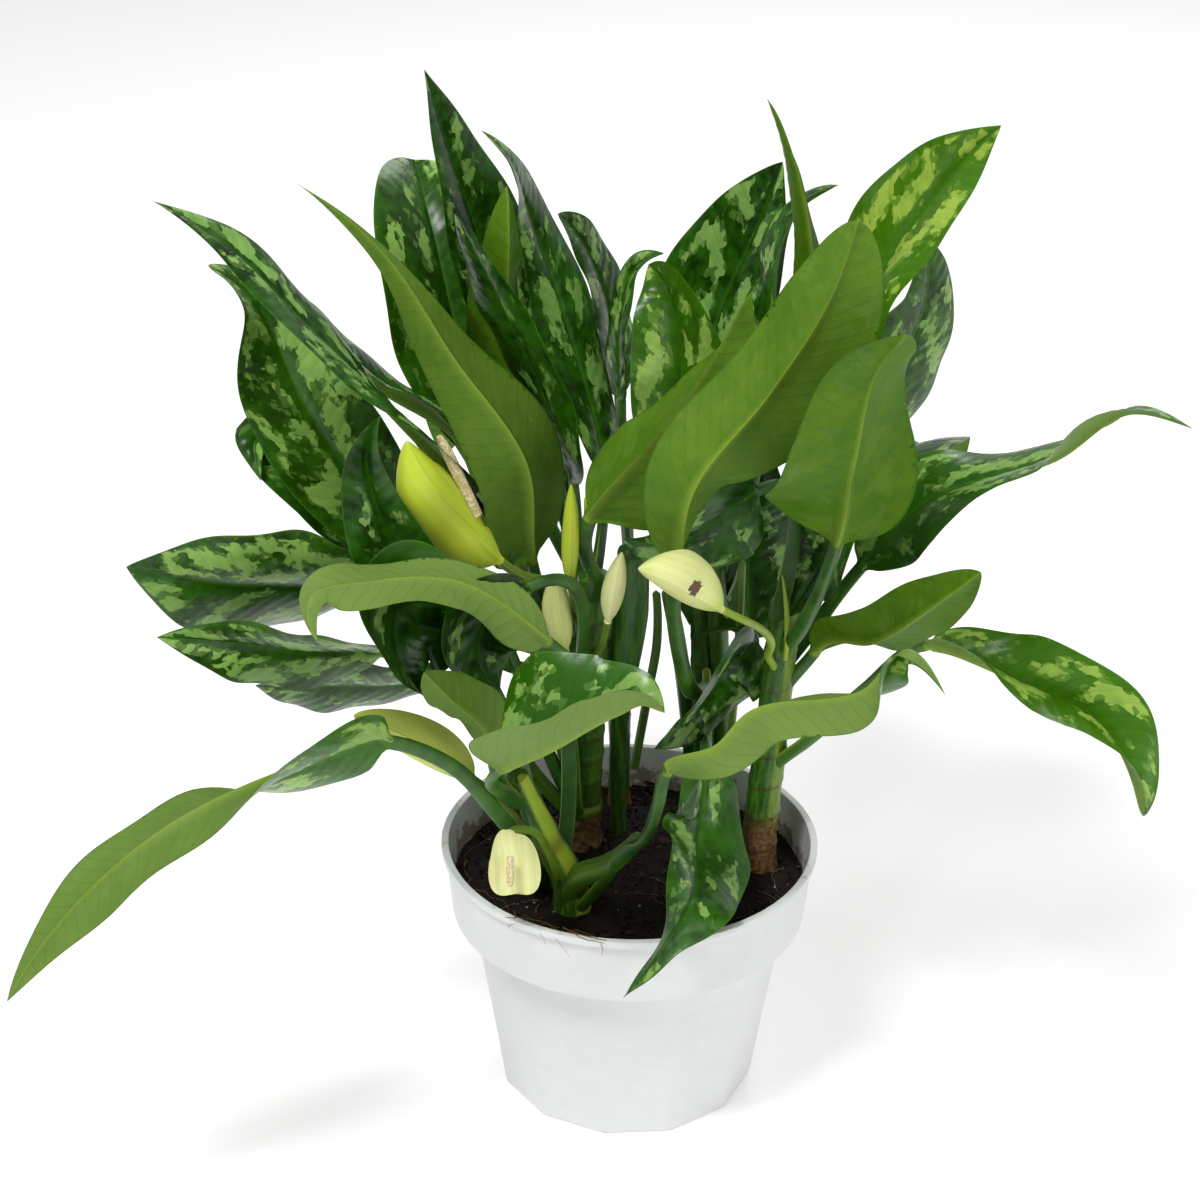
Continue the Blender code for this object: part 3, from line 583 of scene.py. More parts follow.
def makePot(spec, materials):
    top = spec["height"]
    lipFoot = top - spec["lipDepth"]
    wall, ledgeTop = spec["wall"], ledgeHeight + spec["wall"]
    corners = [(0, 0), (baseRadius, 0), (bodyTop, ledgeHeight), (collarFoot, ledgeHeight),
               (collarTop, lipFoot), (spec["rim"], lipFoot), (spec["rim"], top), (collarInside(top), top),
               (collarInside(ledgeHeight), ledgeTop), (bodyTop - wall, ledgeTop),
               (baseRadius - wall, spec["floor"]), (0, spec["floor"])]
    profile = [corners[0]]
    for place in range(1, len(corners) - 1):
        profile += rounded(corners[place], corners[place - 1], corners[place + 1], spec["curves"][place])
        if place in (1, 3):  # more rings up the flats and the collar, so that they bend evenly
            profile += between(profile[-1], corners[place + 1], 10)[:-1]
    profile.append(corners[-1])
    bm = spunProfile(profile, spec["steps"])
    for vert in bm.verts:
        vert.co = facetDraw(vert.co, spec)
        height = vert.co.z / mm
        away = Vector((vert.co.x, vert.co.y, 0))
        # thin walls are never quite round
        wobble = noise.noise(vert.co * spec["wobblePitch"]) * spec["wobble"] * mm * min(height / 40.0, 1.0)
        if away.length > 1e-6:
            vert.co += away.normalized() * wobble
    addPiece("pot_shell", bm, materials, 32, ["pot"])


def makePotPlastic():
    paint, tree, shader = newMaterial("potPlastic", specular=0.45)
    where = put(tree, "ShaderNodeTexCoord").outputs["Object"]
    parts = put(tree, "ShaderNodeSeparateXYZ", {"Vector": where}).outputs
    flat = put(tree, "ShaderNodeCombineXYZ", {"X": parts["X"], "Y": parts["Y"]}).outputs[0]
    away = put(tree, "ShaderNodeVectorMath", {0: flat}, operation="LENGTH").outputs["Value"]
    cloud = unevenness(tree, where, 14.0, 9.0)
    color = blendColor(tree, soften(tree, cloud, 0.3, 0.7), (0.675, 0.690, 0.690), (0.730, 0.742, 0.738))
    taper = pot["collarTaper"] / pot["collar"]
    depth = times(tree, minus(tree, pot["height"] * mm, parts["Z"]), taper)
    midWall = minus(tree, (collarTop - pot["wall"] / 2) * mm, depth)
    inside = minus(tree, midWall, away)  # above zero on the collar's inner side
    wall = times(tree, soften(tree, inside, 0.0, 0.0004), soften(tree, parts["Z"], 0.0795, 0.0815))
    soil = speckle(tree, where, 85.0, 6.0, 0.72)
    low = soften(tree, parts["Z"], 0.090, 0.106, 0.16, -0.02)
    grime = soften(tree, plus(tree, soil, low), 0.58, 0.66)
    color = blendColor(tree, times(tree, wall, 0.20), color, (0.42, 0.38, 0.30))
    color = blendColor(tree, times(tree, times(tree, grime, wall), 0.75), color, (0.16, 0.11, 0.06))
    rimTop = soften(tree, parts["Z"], 0.1073, 0.1079)
    specks = soften(tree, speckle(tree, where, 160.0, 5.0), 0.60, 0.66)
    color = blendColor(tree, times(tree, times(tree, specks, rimTop), 0.35), color, (0.30, 0.25, 0.15))
    scuffs = stretched(tree, where, (30.0, 30.0, 190.0))
    lines = speckle(tree, scuffs, 1.0, 4.0)
    faint = soften(tree, lines, 0.60, 0.70, 0.0, 0.06)
    color = blendColor(tree, faint, color, (0.55, 0.56, 0.55))
    rough = soften(tree, cloud, 0.3, 0.7, 0.34, 0.46)
    height = plus(tree, times(tree, cloud, 0.6), times(tree, lines, 0.3))
    finishShader(tree, shader, color, rough, height, 0.12, 0.0004)
    return paint


makePot(pot, [makePotPlastic()])
print("pot made")


# soil

soil = dict(  # kinds: count, least and most size, mm
    drop=17.0, crown=3.0, gap=0.4, seed=11, steps=120,
    kinds=[("crumb", 1900, 0.7, 2.4), ("chip", 150, 1.8, 3.6), ("perlite", 60, 0.7, 1.5)])
soilEdge = pot["height"] - soil["drop"]
soilRadius = collarInside(soilEdge) - soil["gap"]


def soilTop(radius):
    return soilEdge + soil["crown"] * (1 - min(radius / soilRadius, 1.0)**2)


def lumps(x, y):  # height of the soil's unevenness at x and y, mm
    spot = Vector((x, y, 3.0))
    return 1.5 * noise.noise(spot * 0.07) + 1.1 * noise.noise(spot * 0.21) + 0.6 * noise.noise(spot * 0.6)


def makeSoil(spec, materials):
    ledge = ledgeHeight + pot["wall"] + spec["gap"]
    foot = pot["floor"] + spec["gap"]
    profile = [(0, foot), (baseRadius - pot["wall"] - 2.4, foot), (bodyTop - pot["wall"] - 0.6, ledge),
               (collarInside(ledgeHeight) - spec["gap"] - 0.3, ledge)]
    profile += [(soilRadius * share, soilTop(soilRadius * share)) for share in np.linspace(1, 0, 56)]
    bm = spunProfile(profile, spec["steps"])
    for vert in bm.verts:
        if vert.co.z > (ledge + 4) * mm:
            x, y = vert.co.x / mm, vert.co.y / mm
            rim = max(0.0, math.hypot(x, y) / soilRadius - 0.86) / 0.14
            vert.co.z += (lumps(x, y) - 1.2 * rim**2) * mm
    draw = random.Random(spec["seed"])
    tone = bm.verts.layers.float_vector.new("crumbTone")
    for kind, count, low, high in spec["kinds"]:
        for _ in range(count):
            radius = (soilRadius - 1.4) * math.sqrt(draw.random())
            angle = draw.uniform(0, 2 * math.pi)
            size = low + (high - low) * draw.random()**2.2
            x, y = radius * math.cos(angle), radius * math.sin(angle)
            if kind == "chip":
                stretch = (draw.uniform(0.8, 2.6), draw.uniform(0.7, 1.1), 0.45)
            else:
                stretch = (1, draw.uniform(0.6, 1), draw.uniform(0.5, 0.9))
            spin = Matrix.Rotation(draw.uniform(0, 6.28), 4, "Z")
            spin = spin @ Matrix.Rotation(draw.uniform(-0.6, 0.6), 4, "X")
            z = soilTop(radius) + lumps(x, y) + size * 0.18
            place = Matrix.Translation((x * mm, y * mm, z * mm)) @ spin @ Matrix.Diagonal((*stretch, 1))
            made = bmesh.ops.create_icosphere(bm, subdivisions=1, radius=size / 2 * mm, matrix=place)["verts"]
            value = (draw.random(), 1.0 if kind == "perlite" else 0.0, 1.0 if kind == "chip" else 0.0)
            for vert in made:
                vert[tone] = value
                vert.co += Vector([draw.uniform(-0.16, 0.16) * size * mm for _ in range(3)])
    addPiece("soil_crumbs", bm, materials, 50, ["soil"])


def makeSoilMix():
    paint, tree, shader = newMaterial("pottingMix", specular=0.25)
    where = put(tree, "ShaderNodeTexCoord").outputs["Object"]
    tone = readFact(tree, "crumbTone")
    cloud = unevenness(tree, where, 150.0, 6.0)
    damp = soften(tree, cloud, 0.35, 0.68)
    color = blendColor(tree, damp, (0.0030, 0.0017, 0.0012), (0.016, 0.0080, 0.0048))
    color = blendColor(tree, times(tree, tone["X"], 0.40), color, (0.024, 0.012, 0.0070))
    color = blendColor(tree, times(tree, tone["Z"], 0.35), color, (0.060, 0.030, 0.015))
    color = blendColor(tree, times(tree, tone["Y"], 0.85), color, (0.34, 0.30, 0.23))
    rough = soften(tree, cloud, 0.3, 0.7, 0.72, 0.95)
    finishShader(tree, shader, color, rough, cloud, 0.9, 0.0012)
    return paint


makeSoil(soil, [makeSoilMix()])
print("soil made")


# canes

canes = {  # foot on the soil, top above the rim, radius in mm, share of the cane that is bark, node gap
    "main": dict(foot=(-19, 20), top=(-15, 8, 113), radius=7.5, bark=0.16, gap=11.0, pale=0.05),
    "rear": dict(foot=(-4, 53), top=(-4, 38, 69), radius=4.5, bark=0.10, gap=12.0, pale=0.0),
    "front": dict(foot=(-23, -28), top=(-44, -40, 52), radius=5.2, bark=0.0, gap=90.0, pale=0.60,
                  foothold=0.45),
    "right": dict(foot=(52, 6), top=(58, 0, 107), radius=7.0, bark=0.20, gap=15.0, pale=0.22),
    "middle": dict(foot=(32, 49), top=(27, 38, 87), radius=5.0, bark=0.12, gap=12.0, pale=0.0),
}
caneFine = dict(rise=6.0, sink=5.0, columns=28, rowGap=1.1, collar=0.07, groove=0.05, topShare=0.85,
                stripeFacing=-40, slant=0.8, scarAt=0.5, scarWidth=0.045, swellAt=0.56, swellWidth=0.12,
                flare=0.18, flareReach=7.0, endShare=0.4)


def aboveRim(x, y, height):
    return np.array([x, y, pot["height"] + height])


def onSoil(x, y, radius):
    return np.array([x, y, soilTop(max(np.linalg.norm((x, y)) - radius, 0.0)) + soil["gap"]])


def canePoints(spec):
    foot = onSoil(*spec["foot"], spec["radius"])
    return [foot, foot + np.array([0, 0, caneFine["rise"]]), aboveRim(*spec["top"])]


def caneAxis(spec, height):
    foot, bend, top = canePoints(spec)
    if height <= caneFine["rise"]:
        return foot + np.array([0, 0, height])
    return bend + (top - bend) * (height - caneFine["rise"]) / (top[2] - bend[2])


def makeCane(name, spec, fine, seed):
    foot, bend, top = canePoints(spec)
    knots, at = smoothCurve([foot - np.array([0, 0, fine["sink"]]), bend, bend + (top - bend) * 0.5, top])
    last = knots[-1]
    rows = int(last / fine["rowGap"])
    lengths = np.linspace(0, last, rows)
    place, side, up = tubeFrames(at, lengths, last)
    angles = np.linspace(0, 2 * np.pi, fine["columns"] + 1)
    slant = fine["slant"] * np.cos(angles)[None, :]
    phase = (lengths[:, None] + slant + seed * 2.1) / spec["gap"] % 1.0
    scar = np.exp(-((phase - fine["scarAt"]) / fine["scarWidth"])**2)
    swell = np.exp(-((phase - fine["swellAt"]) / fine["swellWidth"])**2)
    share = (lengths / last)[:, None]
    tall = lengths[:, None]
    radius = spec["radius"] * (1 - (1 - fine["topShare"]) * share)
    radius = radius * (1 + fine["collar"] * swell - fine["groove"] * scar)
    radius = radius * (1 + 0.03 * np.sin(angles * 3 + seed)[None, :] + 0.02 * np.sin(angles * 7 + tall * 0.3))
    flare = fine["flare"] * np.exp(-(tall / fine["flareReach"])**2)
    radius = radius * (1 + flare + spec.get("foothold", 0) * (1 - share))
    radius[-1] *= fine["endShare"]
    points = ringPoints(place, side, up, radius, angles)
    bark = np.clip(1.15 - share / max(spec["bark"], 0.01) * 0.6, 0, 1) if spec["bark"] else share * 0
    outward = side[:, None] * np.cos(angles)[..., None] + up[:, None] * np.sin(angles)[..., None]
    stripe = outward @ compass(fine["stripeFacing"], 0)
    facts = {"leafPlace": stacked(lengths[:, None] / 10, angles[None, :] * spec["radius"] / 10, seed * 1.7),
             "leafShare": stacked(share, bark, scar),
             "leafTint": stacked(spec["pale"] + 0 * radius, stripe, 0.0)}
    bm = skin(points * mm, facts)
    addPiece("stem_" + name, bm, [caneGreen], 50, ["cane_" + name])


for number, (name, spec) in enumerate(canes.items()):
    makeCane(name, spec, caneFine, number + 1)
print("canes made")


# leaves and spathes

# start: cane, height above its foot and compass angle, or "soil", x and y. points: the midrib's
# x, y and height above the rim, mm; the blade begins at point number stalkPoints. width, mm. face: the
# way the upper side looks at the blade's base, middle and tip. fold: how far each half is raised,
# degrees. full and tip shape the outline. stalk: its radius, mm. silver: how much is patched. lime: how
# yellow. wave: edge ripple, mm. light: a washed-out look. arch: how far each half bows, degrees.

def leaf(title, start, points, width, face, **more):
    spec = dict(name="leaf_" + title, start=start, points=points, width=width, face=face, fold=12, full=0.55,
                tip=0.95, stalkPoints=1, stalk=2.5, silver=0.5, lime=0.05, wave=0.8, light=0.0, arch=14.0,
                pale=0.0)
    return spec | more


# cream, green and stain: how much of each colour. pale: how light the stalk is.
def spathe(title, start, points, width, face, **more):
    spec = dict(name="spathe_" + title, start=start, points=points, width=width, face=face, full=0.5, tip=0.7,
                stalkPoints=1, stalk=1.8, arch=14.0, cream=0.0, green=0.3, stain=0.0, pale=0.35)
    return spec | more


blades = [
    leaf("upper_left_1", ("main", 64, 105), [(-37, 49, 164), (-56, 55, 218), (-69, 50, 261), (-79, 40, 300)],
         49, [(-45, 20), (-35, 10), (-30, 5)], fold=10, full=0.53, tip=1.05),
    leaf("upper_left_2", ("rear", 82, 120), [(-45, 52, 137), (-68, 66, 183), (-80, 80, 228),
         (-88, 105, 246)], 64, [(-70, 20), (-60, 15), (-50, 65)], fold=15, full=0.57, tip=0.5, silver=0.55,
         lime=0.15, wave=1.4),
    leaf("upper_left_3", ("main", 114, 115), [(-39, 31, 167), (-50, 29, 208), (-49, 23, 240),
         (-49, 29, 260)], 41, [(155, -15), (150, 5), (135, -15)], fold=15, full=0.56, tip=0.94, silver=0.4,
         lime=0.1),
    leaf("upper_left_4", ("main", 126, 140), [(-24, 16, 147), (-35, 6, 188), (-51, -4, 228), (-66, -6, 261)],
         47, [(-160, -10), (-145, -25), (-140, -20)], fold=0, full=0.57, tip=0.87, silver=0.45, lime=0),
    leaf("upper_left_5", ("main", 126, 80), [(-12, 28, 146), (-25, 51, 192), (-41, 53, 241), (-50, 31, 273),
         (-58, 22, 283)], 37, [(-25, 15), (-35, 20), (-15, 35)], fold=0, full=0.5, tip=1.09, silver=0.6,
         wave=1),
    leaf("upper_left_6", ("main", 93, 165), [(-39, -3, 123), (-42, -12, 167), (-68, -18, 211),
         (-90, -28, 252), (-117, -45, 284)], 48, [(135, 0), (155, -20), (170, -40)], fold=4, full=0.38,
         tip=1.45, silver=0.4, lime=0.3, wave=0.5, light=0.25),
    leaf("center_1", ("rear", 70, 70), [(-6, 80, 156), (-13, 87, 199), (-23, 80, 224), (-31, 70, 236)], 32,
         [(-35, 15), (-20, 15), (-25, 10)], fold=5, full=0.57, tip=0.87, lime=0.15),
    leaf("center_2", ("rear", 82, 55), [(-6, 58, 164), (-6, 62, 196), (0, 71, 216), (10, 66, 222)], 27,
         [(-155, 0), (-170, 15), (-160, 65)], fold=6, tip=0.92, silver=0.4, lime=0.1, wave=0.6),
    leaf("center_3", ("middle", 100, 180), [(11, 38, 150), (17, 42, 187), (9, 52, 216), (4, 62, 219)], 44,
         [(-80, 5), (-95, 10), (-150, 35)], fold=29, full=0.6, silver=0.65, lime=0.45),
    leaf("center_4", ("main", 126, -55), [(-17, -22, 150), (1, -24, 175), (19, -18, 197), (39, -20, 238)],
         56, [(55, -5), (50, -35), (10, -20)], fold=34, full=0.5, tip=0.96, stalk=3, silver=0.4, lime=0.2,
         wave=1, light=0.1),
    leaf("upper_right_1", ("middle", 100, 110), [(26, 50, 156), (31, 73, 191), (45, 73, 230), (54, 66, 259)],
         59, [(-130, 25), (-135, 15), (-130, 0)], fold=13, full=0.57, tip=0.91, silver=0.65, wave=1),
    leaf("upper_right_2", ("middle", 100, 0), [(49, 31, 176), (51, 36, 219), (60, 51, 247), (74, 48, 256)],
         42, [(-155, 5), (-175, 10), (155, 65)], tip=0.97, silver=0.6),
    leaf("upper_right_3", ("right", 120, 70), [(66, 25, 179), (63, 22, 228), (57, 22, 262), (44, 18, 297)],
         45, [(155, 0), (165, -10), (180, -25)], fold=3, tip=0.97, silver=0.4, lime=0.3, wave=0.5),
    leaf("upper_right_4", ("middle", 70, -100), [(23, 4, 65), (14, -30, 117), (14, -48, 145), (18, -58, 177),
         (45, -66, 219), (64, -72, 259), (71, -62, 279)], 46, [(130, 20), (65, -10), (85, -35)], fold=28,
         full=0.62, tip=0.5, stalkPoints=3, stalk=3, silver=0.4, lime=0.2, wave=1, light=0.15, arch=8),
    leaf("upper_right_5", ("right", 108, -75), [(71, -52, 156), (72, -80, 203), (75, -100, 240),
         (82, -120, 261)], 58, [(75, 30), (140, 25), (100, 35)], fold=11, full=0.43, tip=0.82, lime=0.3,
         arch=3),
    leaf("upper_right_6", ("right", 114, 35), [(85, 20, 181), (87, 22, 226), (106, 20, 262), (126, 5, 292)],
         56, [(-175, 5), (-155, 25), (-130, -5)], full=0.52, tip=0.99, silver=0.7, lime=0.8, wave=1),
    leaf("upper_right_7", ("right", 105, 75), [(91, 50, 148), (104, 58, 183), (112, 62, 210),
         (109, 60, 232)], 50, [(-40, -5), (-50, -5), (-40, 5)], fold=0, full=0.54, silver=0.55, lime=0.15),
    leaf("right_1", ("right", 100, 30), [(86, 7, 117), (109, -6, 153), (152, -15, 174), (178, -25, 197),
         (198, -30, 192)], 45, [(-115, 5), (145, 70), (20, 60)], fold=4, full=0.69, silver=0.6, lime=0.15,
         wave=1, light=0.5),
    leaf("right_2", ("right", 89, -10), [(70, -1, 85), (89, -41, 112), (106, -75, 145), (116, -95, 166)], 28,
         [(90, 5), (65, 35), (40, 15)], fold=15, full=0.58, tip=0.74, silver=0.4, lime=0.2),
    leaf("right_3", ("right", 57, -25), [(89, -14, 78), (109, -25, 102), (139, -38, 96), (172, -55, 85),
         (186, -75, 58)], 37, [(100, 70), (-100, 45), (-20, 25)], fold=39, full=0.7, tip=0.69, stalkPoints=2,
         stalk=3.2, silver=0.65, lime=0.6, wave=1.2, light=0.5),
    leaf("right_4", ("front", 6, -45), [(-7, -40, 13), (5, -47, 31), (9, -53, 48), (12, -58, 65),
         (31, -66, 79), (42, -70, 95), (81, -85, 113), (94, -98, 136), (106, -104, 123)], 26, [(150, -45),
         (0, -10), (-155, -20)], fold=44, full=0.62, tip=1.01, stalkPoints=4, stalk=3.2, silver=0.35,
         lime=0.4, wave=1, light=0.7),
    leaf("lower_right_1", ("middle", 99, -55), [(48, 18, 80), (36, 6, 73), (24, 12, 50), (9, 1, 40)], 43,
         [(-40, 20), (-50, -35), (-45, 0)], fold=20, full=0.54, tip=0.96, silver=0.6),
    leaf("lower_right_2", ("middle", 64, 15), [(46, 47, 65), (47, 56, 97), (47, 38, 135), (51, 35, 158)], 42,
         [(-75, 10), (-70, -30), (-80, -5)], silver=0.4),
    leaf("lower_right_3", ("right", 118, -20), [(77, -15, 159), (72, -24, 149), (66, -9, 120),
         (59, -10, 105)], 40, [(-140, 50), (-155, -10), (-135, 25)], silver=0.4),
    leaf("lower_right_4", ("right", 112, -115), [(44, -28, 165), (32, -34, 158), (14, -30, 144),
         (-5, -32, 147)], 44, [(-75, -10), (-70, -20), (-100, -25)], fold=10, silver=0.4),
    leaf("front_1", ("middle", 21, -90), [(29, -9, 40), (27, -23, 18), (20, -78, 15), (-3, -98, -9)], 42,
         [(-45, 30), (5, 55), (-55, -10)], fold=13, full=0.53, tip=1.21, silver=0.45, lime=0.15, wave=2.6),
    leaf("front_2", ("front", 62, -95), [(-48, -80, 78), (-31, -88, 91), (-7, -92, 108), (3, -95, 114),
         (10, -97, 111)], 66, [(155, 50), (-170, 50), (-5, 60)], fold=50, full=0.59, tip=0.98, silver=0.55,
         lime=0.15, light=0.8),
    leaf("front_3", ("front", 62, -155), [(-52, -59, 71), (-55, -65, 87), (-65, -72, 101), (-75, -77, 115)],
         25, [(90, 25), (100, 15), (125, -5)], fold=36, full=0.62, tip=0.76, silver=0.3, lime=0.1,
         light=0.35),
    leaf("left_1", ("main", 18, -110), [(-60, -13, 154), (-86, -19, 188), (-117, -30, 228), (-145, -38, 262),
         (-165, -48, 278)], 50, [(45, 30), (5, 40), (-45, 40)], fold=1, full=0.57, tip=1.28, silver=0.65),
    leaf("left_2", ("main", 111, 155), [(-52, 12, 129), (-68, 15, 167), (-98, 19, 186), (-123, 14, 222)], 55,
         [(-15, 25), (35, 55), (0, 25)], fold=10, full=0.59, tip=0.99, silver=0.45),
    leaf("left_3", ("rear", 70, -90), [(-89, 33, 114), (-125, 28, 171), (-146, 25, 220), (-158, 18, 232)],
         46, [(-65, 15), (-90, 0), (5, 50)], fold=6, full=0.48, tip=0.74, silver=0.7, lime=0.2, wave=1.2),
    leaf("left_4", ("rear", 82, 175), [(-93, 50, 98), (-128, 50, 132), (-148, 45, 151), (-145, 35, 138)], 36,
         [(-50, 40), (-45, 30), (-115, 20)], lime=0.1),
    leaf("left_5", ("front", 33, 125), [(-98, -14, 116), (-124, -24, 122), (-154, -42, 132),
         (-183, -50, 142)], 70, [(-95, -45), (-65, -30), (-80, -5)], fold=0, full=0.49, silver=0.75,
         lime=0.15, wave=1.2),
    leaf("left_6", ("front", 65, 70), [(-92, -39, 102), (-122, -49, 108), (-148, -58, 116),
         (-171, -66, 122)], 40, [(-90, -40), (-80, -30), (-65, 15)], fold=14, tip=1.06, silver=0.75,
         lime=0.15, wave=1),
    leaf("left_7", ("front", 65, 140), [(-74, -16, 75), (-100, -22, 79), (-121, -32, 84), (-140, -44, 91)],
         42, [(-110, -45), (-70, -35), (-70, -35)], fold=1, tip=1, silver=0.4, lime=0.1),
    leaf("left_8", ("main", 77, 150), [(-77, -32, 120), (-92, -41, 158), (-96, -45, 186), (-90, -49, 202)],
         33, [(-60, 0), (-85, -10), (-105, -10)], fold=29, full=0.46, tip=1.09, silver=0.2, wave=0.6),
    leaf("left_9", ("main", 70, -85), [(-32, -49, 113), (-66, -65, 144), (-91, -78, 150), (-112, -90, 149),
         (-110, -96, 137)], 32, [(135, -15), (-160, -75), (40, 0)], fold=0, full=0.58, tip=0.75, silver=0.3,
         lime=0.15, light=0.75),
    leaf("left_10", ("front", 21, 70), [(-67, -40, 125), (-86, -50, 125), (-86, -59, 118), (-75, -65, 98)],
         56, [(-65, -5), (-35, 35), (-15, 40)], fold=22, full=0.52, tip=1.08, silver=0.3, wave=1.2),
    leaf("left_11", ("main", 88, -110), [(-39, -39, 130), (-52, -43, 122), (-57, -51, 111), (-49, -57, 96)],
         44, [(-45, -5), (-55, 15), (-50, 40)], silver=0.3),
    leaf("left_12", ("soil", -34, -16), [(-51, -51, 42), (-68, -62, 69), (-88, -68, 81), (-120, -86, 79),
         (-164, -106, 66), (-222, -127, 7)], 43, [(-65, -10), (20, -65), (75, -20)], fold=0, full=0.37,
         stalkPoints=3, stalk=3, silver=0.65, lime=0.35, wave=1.4, light=0.5),
    leaf("back_1", ("rear", 72, 125), [(-34, 86, 98), (-56, 122, 124), (-72, 154, 118), (-84, 182, 84)], 52,
         [(-90, 60), (90, 80), (90, 35)], silver=0.6, lime=0.1, wave=1),
    leaf("back_2", ("middle", 92, 90), [(26, 92, 104), (32, 132, 134), (36, 168, 132), (40, 198, 98)], 56,
         [(-90, 60), (90, 80), (90, 35)], silver=0.65, lime=0.2, wave=1),
    leaf("back_3", ("right", 97, 70), [(84, 75, 96), (108, 108, 120), (126, 138, 112), (140, 162, 78)], 50,
         [(-90, 60), (90, 80), (90, 35)], silver=0.6, lime=0.1, wave=1),
    spathe("left", ("main", 125, 155), [(-50, -27, 135), (-62, -34, 154), (-75, -45, 176), (-82, -42, 189)],
           36, [(145, -5), (130, -10), (115, -30)], fold=45, stalk=2, cream=0.05, pale=0.5),
    spathe("right", ("right", 98, -150), [(47, -44, 116), (30, -68, 137), (20, -73, 145), (11, -77, 152),
           (0, -77, 157)], 30, [(100, 10), (100, 20), (80, 5)], fold=60, stalkPoints=2, stalk=1.6,
           cream=0.75, green=0.8, stain=1, pale=0.75),
    spathe("bud_1", ("main", 96, -75), [(-10, -14, 104), (-8, -18, 119), (-5, -16, 134)], 16, [(85, 20),
           (85, 5), (90, -15)], fold=65, stalk=1.6, cream=0.9),
    spathe("bud_2", ("main", 112, -110), [(-24, -19, 122), (-24, -24, 146), (-24, -24, 165)], 12, [(95, 35),
           (90, 20), (90, -35)], fold=65, stalk=1.5, cream=0.05, green=0.6),
    spathe("bud_3", ("main", 82, -125), [(-26, -12, 90), (-28, -17, 108), (-29, -20, 126)], 18, [(105, 20),
           (110, 25), (100, 5)], fold=55, cream=0.6, green=0.8),
    spathe("low", ("front", 16, -100), [(-32, -44, 22), (-38, -54, 36), (-45, -60, 39), (-44, -66, 31),
           (-43, -70, 18)], 21, [(-85, 60), (-85, 20), (-90, 10)], fold=22, tip=0.3, stalkPoints=3,
           cream=0.95, green=0.2),
    spathe("old", ("front", 46, 160), [(-60, -44, 52), (-75, -53, 70), (-89, -58, 81), (-102, -62, 89)], 20,
           [(110, 10), (110, 5), (110, 0)], fold=30, cream=0.25, green=0.5),
]

leafFine = dict(stalkRows=20, bladeRows=72, half=20, thickness=0.5, groove=0.55, quilt=0.22, quiltGap=6.2,
                veinSlant=0.85, joinShare=0.035, sheath=0.45, sink=9.0, ripples=3.2, bunch=1.35,
                grooveWidth=1.3, stalkTaper=0.12, ribTaper=0.82, flare=0.30, footReach=7.0, footPull=0.85)


def startPoint(spec):
    place, first, second = spec["start"]
    if place == "soil":
        return onSoil(first, second, spec["stalk"]) + np.array([0, 0, spec["stalk"] * 0.5])
    cane = canes[place]
    out = cane["radius"] + spec["stalk"] + 2 * soil["gap"]
    angle = math.radians(second)
    return caneAxis(cane, first) + np.array([math.cos(angle) * out, math.sin(angle) * out, 0])


def facing(spec, share):
    base, middle, end = (compass(*angles) for angles in spec["face"])

    def mixed(t):
        t = np.clip(t, 0, 1)[:, None]
        return np.where(t < 0.5, base + (middle - base) * t * 2, middle + (end - middle) * (t * 2 - 1))

    return (mixed(share - 0.07) + mixed(share) + mixed(share + 0.07)) / 3


def bladeWidth(spec, share):
    low, high = spec["full"], spec["tip"]
    peak = (low / (low + high))**low * (high / (low + high))**high
    return spec["width"] / 2 * share**low * (1 - share)**high / peak


def bladeFrames(spec, fine):
    knots, at = smoothCurve([startPoint(spec)] + [aboveRim(*point) for point in spec["points"]])
    begin, last = knots[spec["stalkPoints"]], knots[-1]
    k = np.linspace(0, 1, fine["bladeRows"])
    share = 0.45 * k + 0.55 * (0.5 - 0.5 * np.cos(np.pi * k))
    stalk = np.linspace(0, begin, fine["stalkRows"] + 1)[:-1]
    lengths = np.concatenate([stalk, begin + share * (last - begin)])
    shares = np.clip((lengths - begin) / (last - begin), 0, 1)
    place = at(lengths)
    along = unit(at(np.minimum(lengths + 0.5, last)) - at(np.maximum(lengths - 0.5, 0.0)))
    look = facing(spec, shares)
    up = unit(look - along * np.sum(look * along, axis=1, keepdims=True))
    return lengths, shares, place, up, np.cross(along, up), begin, last


def buriedFoot(spec, place, fine):  # the stalk's foot is carried into its cane, where a real one wraps it
    first = spec["start"][0]
    if first == "soil":
        target = place[0] - np.array([0, 0, 6.0])
    else:
        target = caneAxis(canes[first], spec["start"][1]) - np.array([0, 0, fine["sink"]])
    reach = np.linalg.norm(place - place[0], axis=1)
    pull = np.exp(-(reach / fine["footReach"])**2)[:, None]
    return place + (target - place[0]) * pull * fine["footPull"]


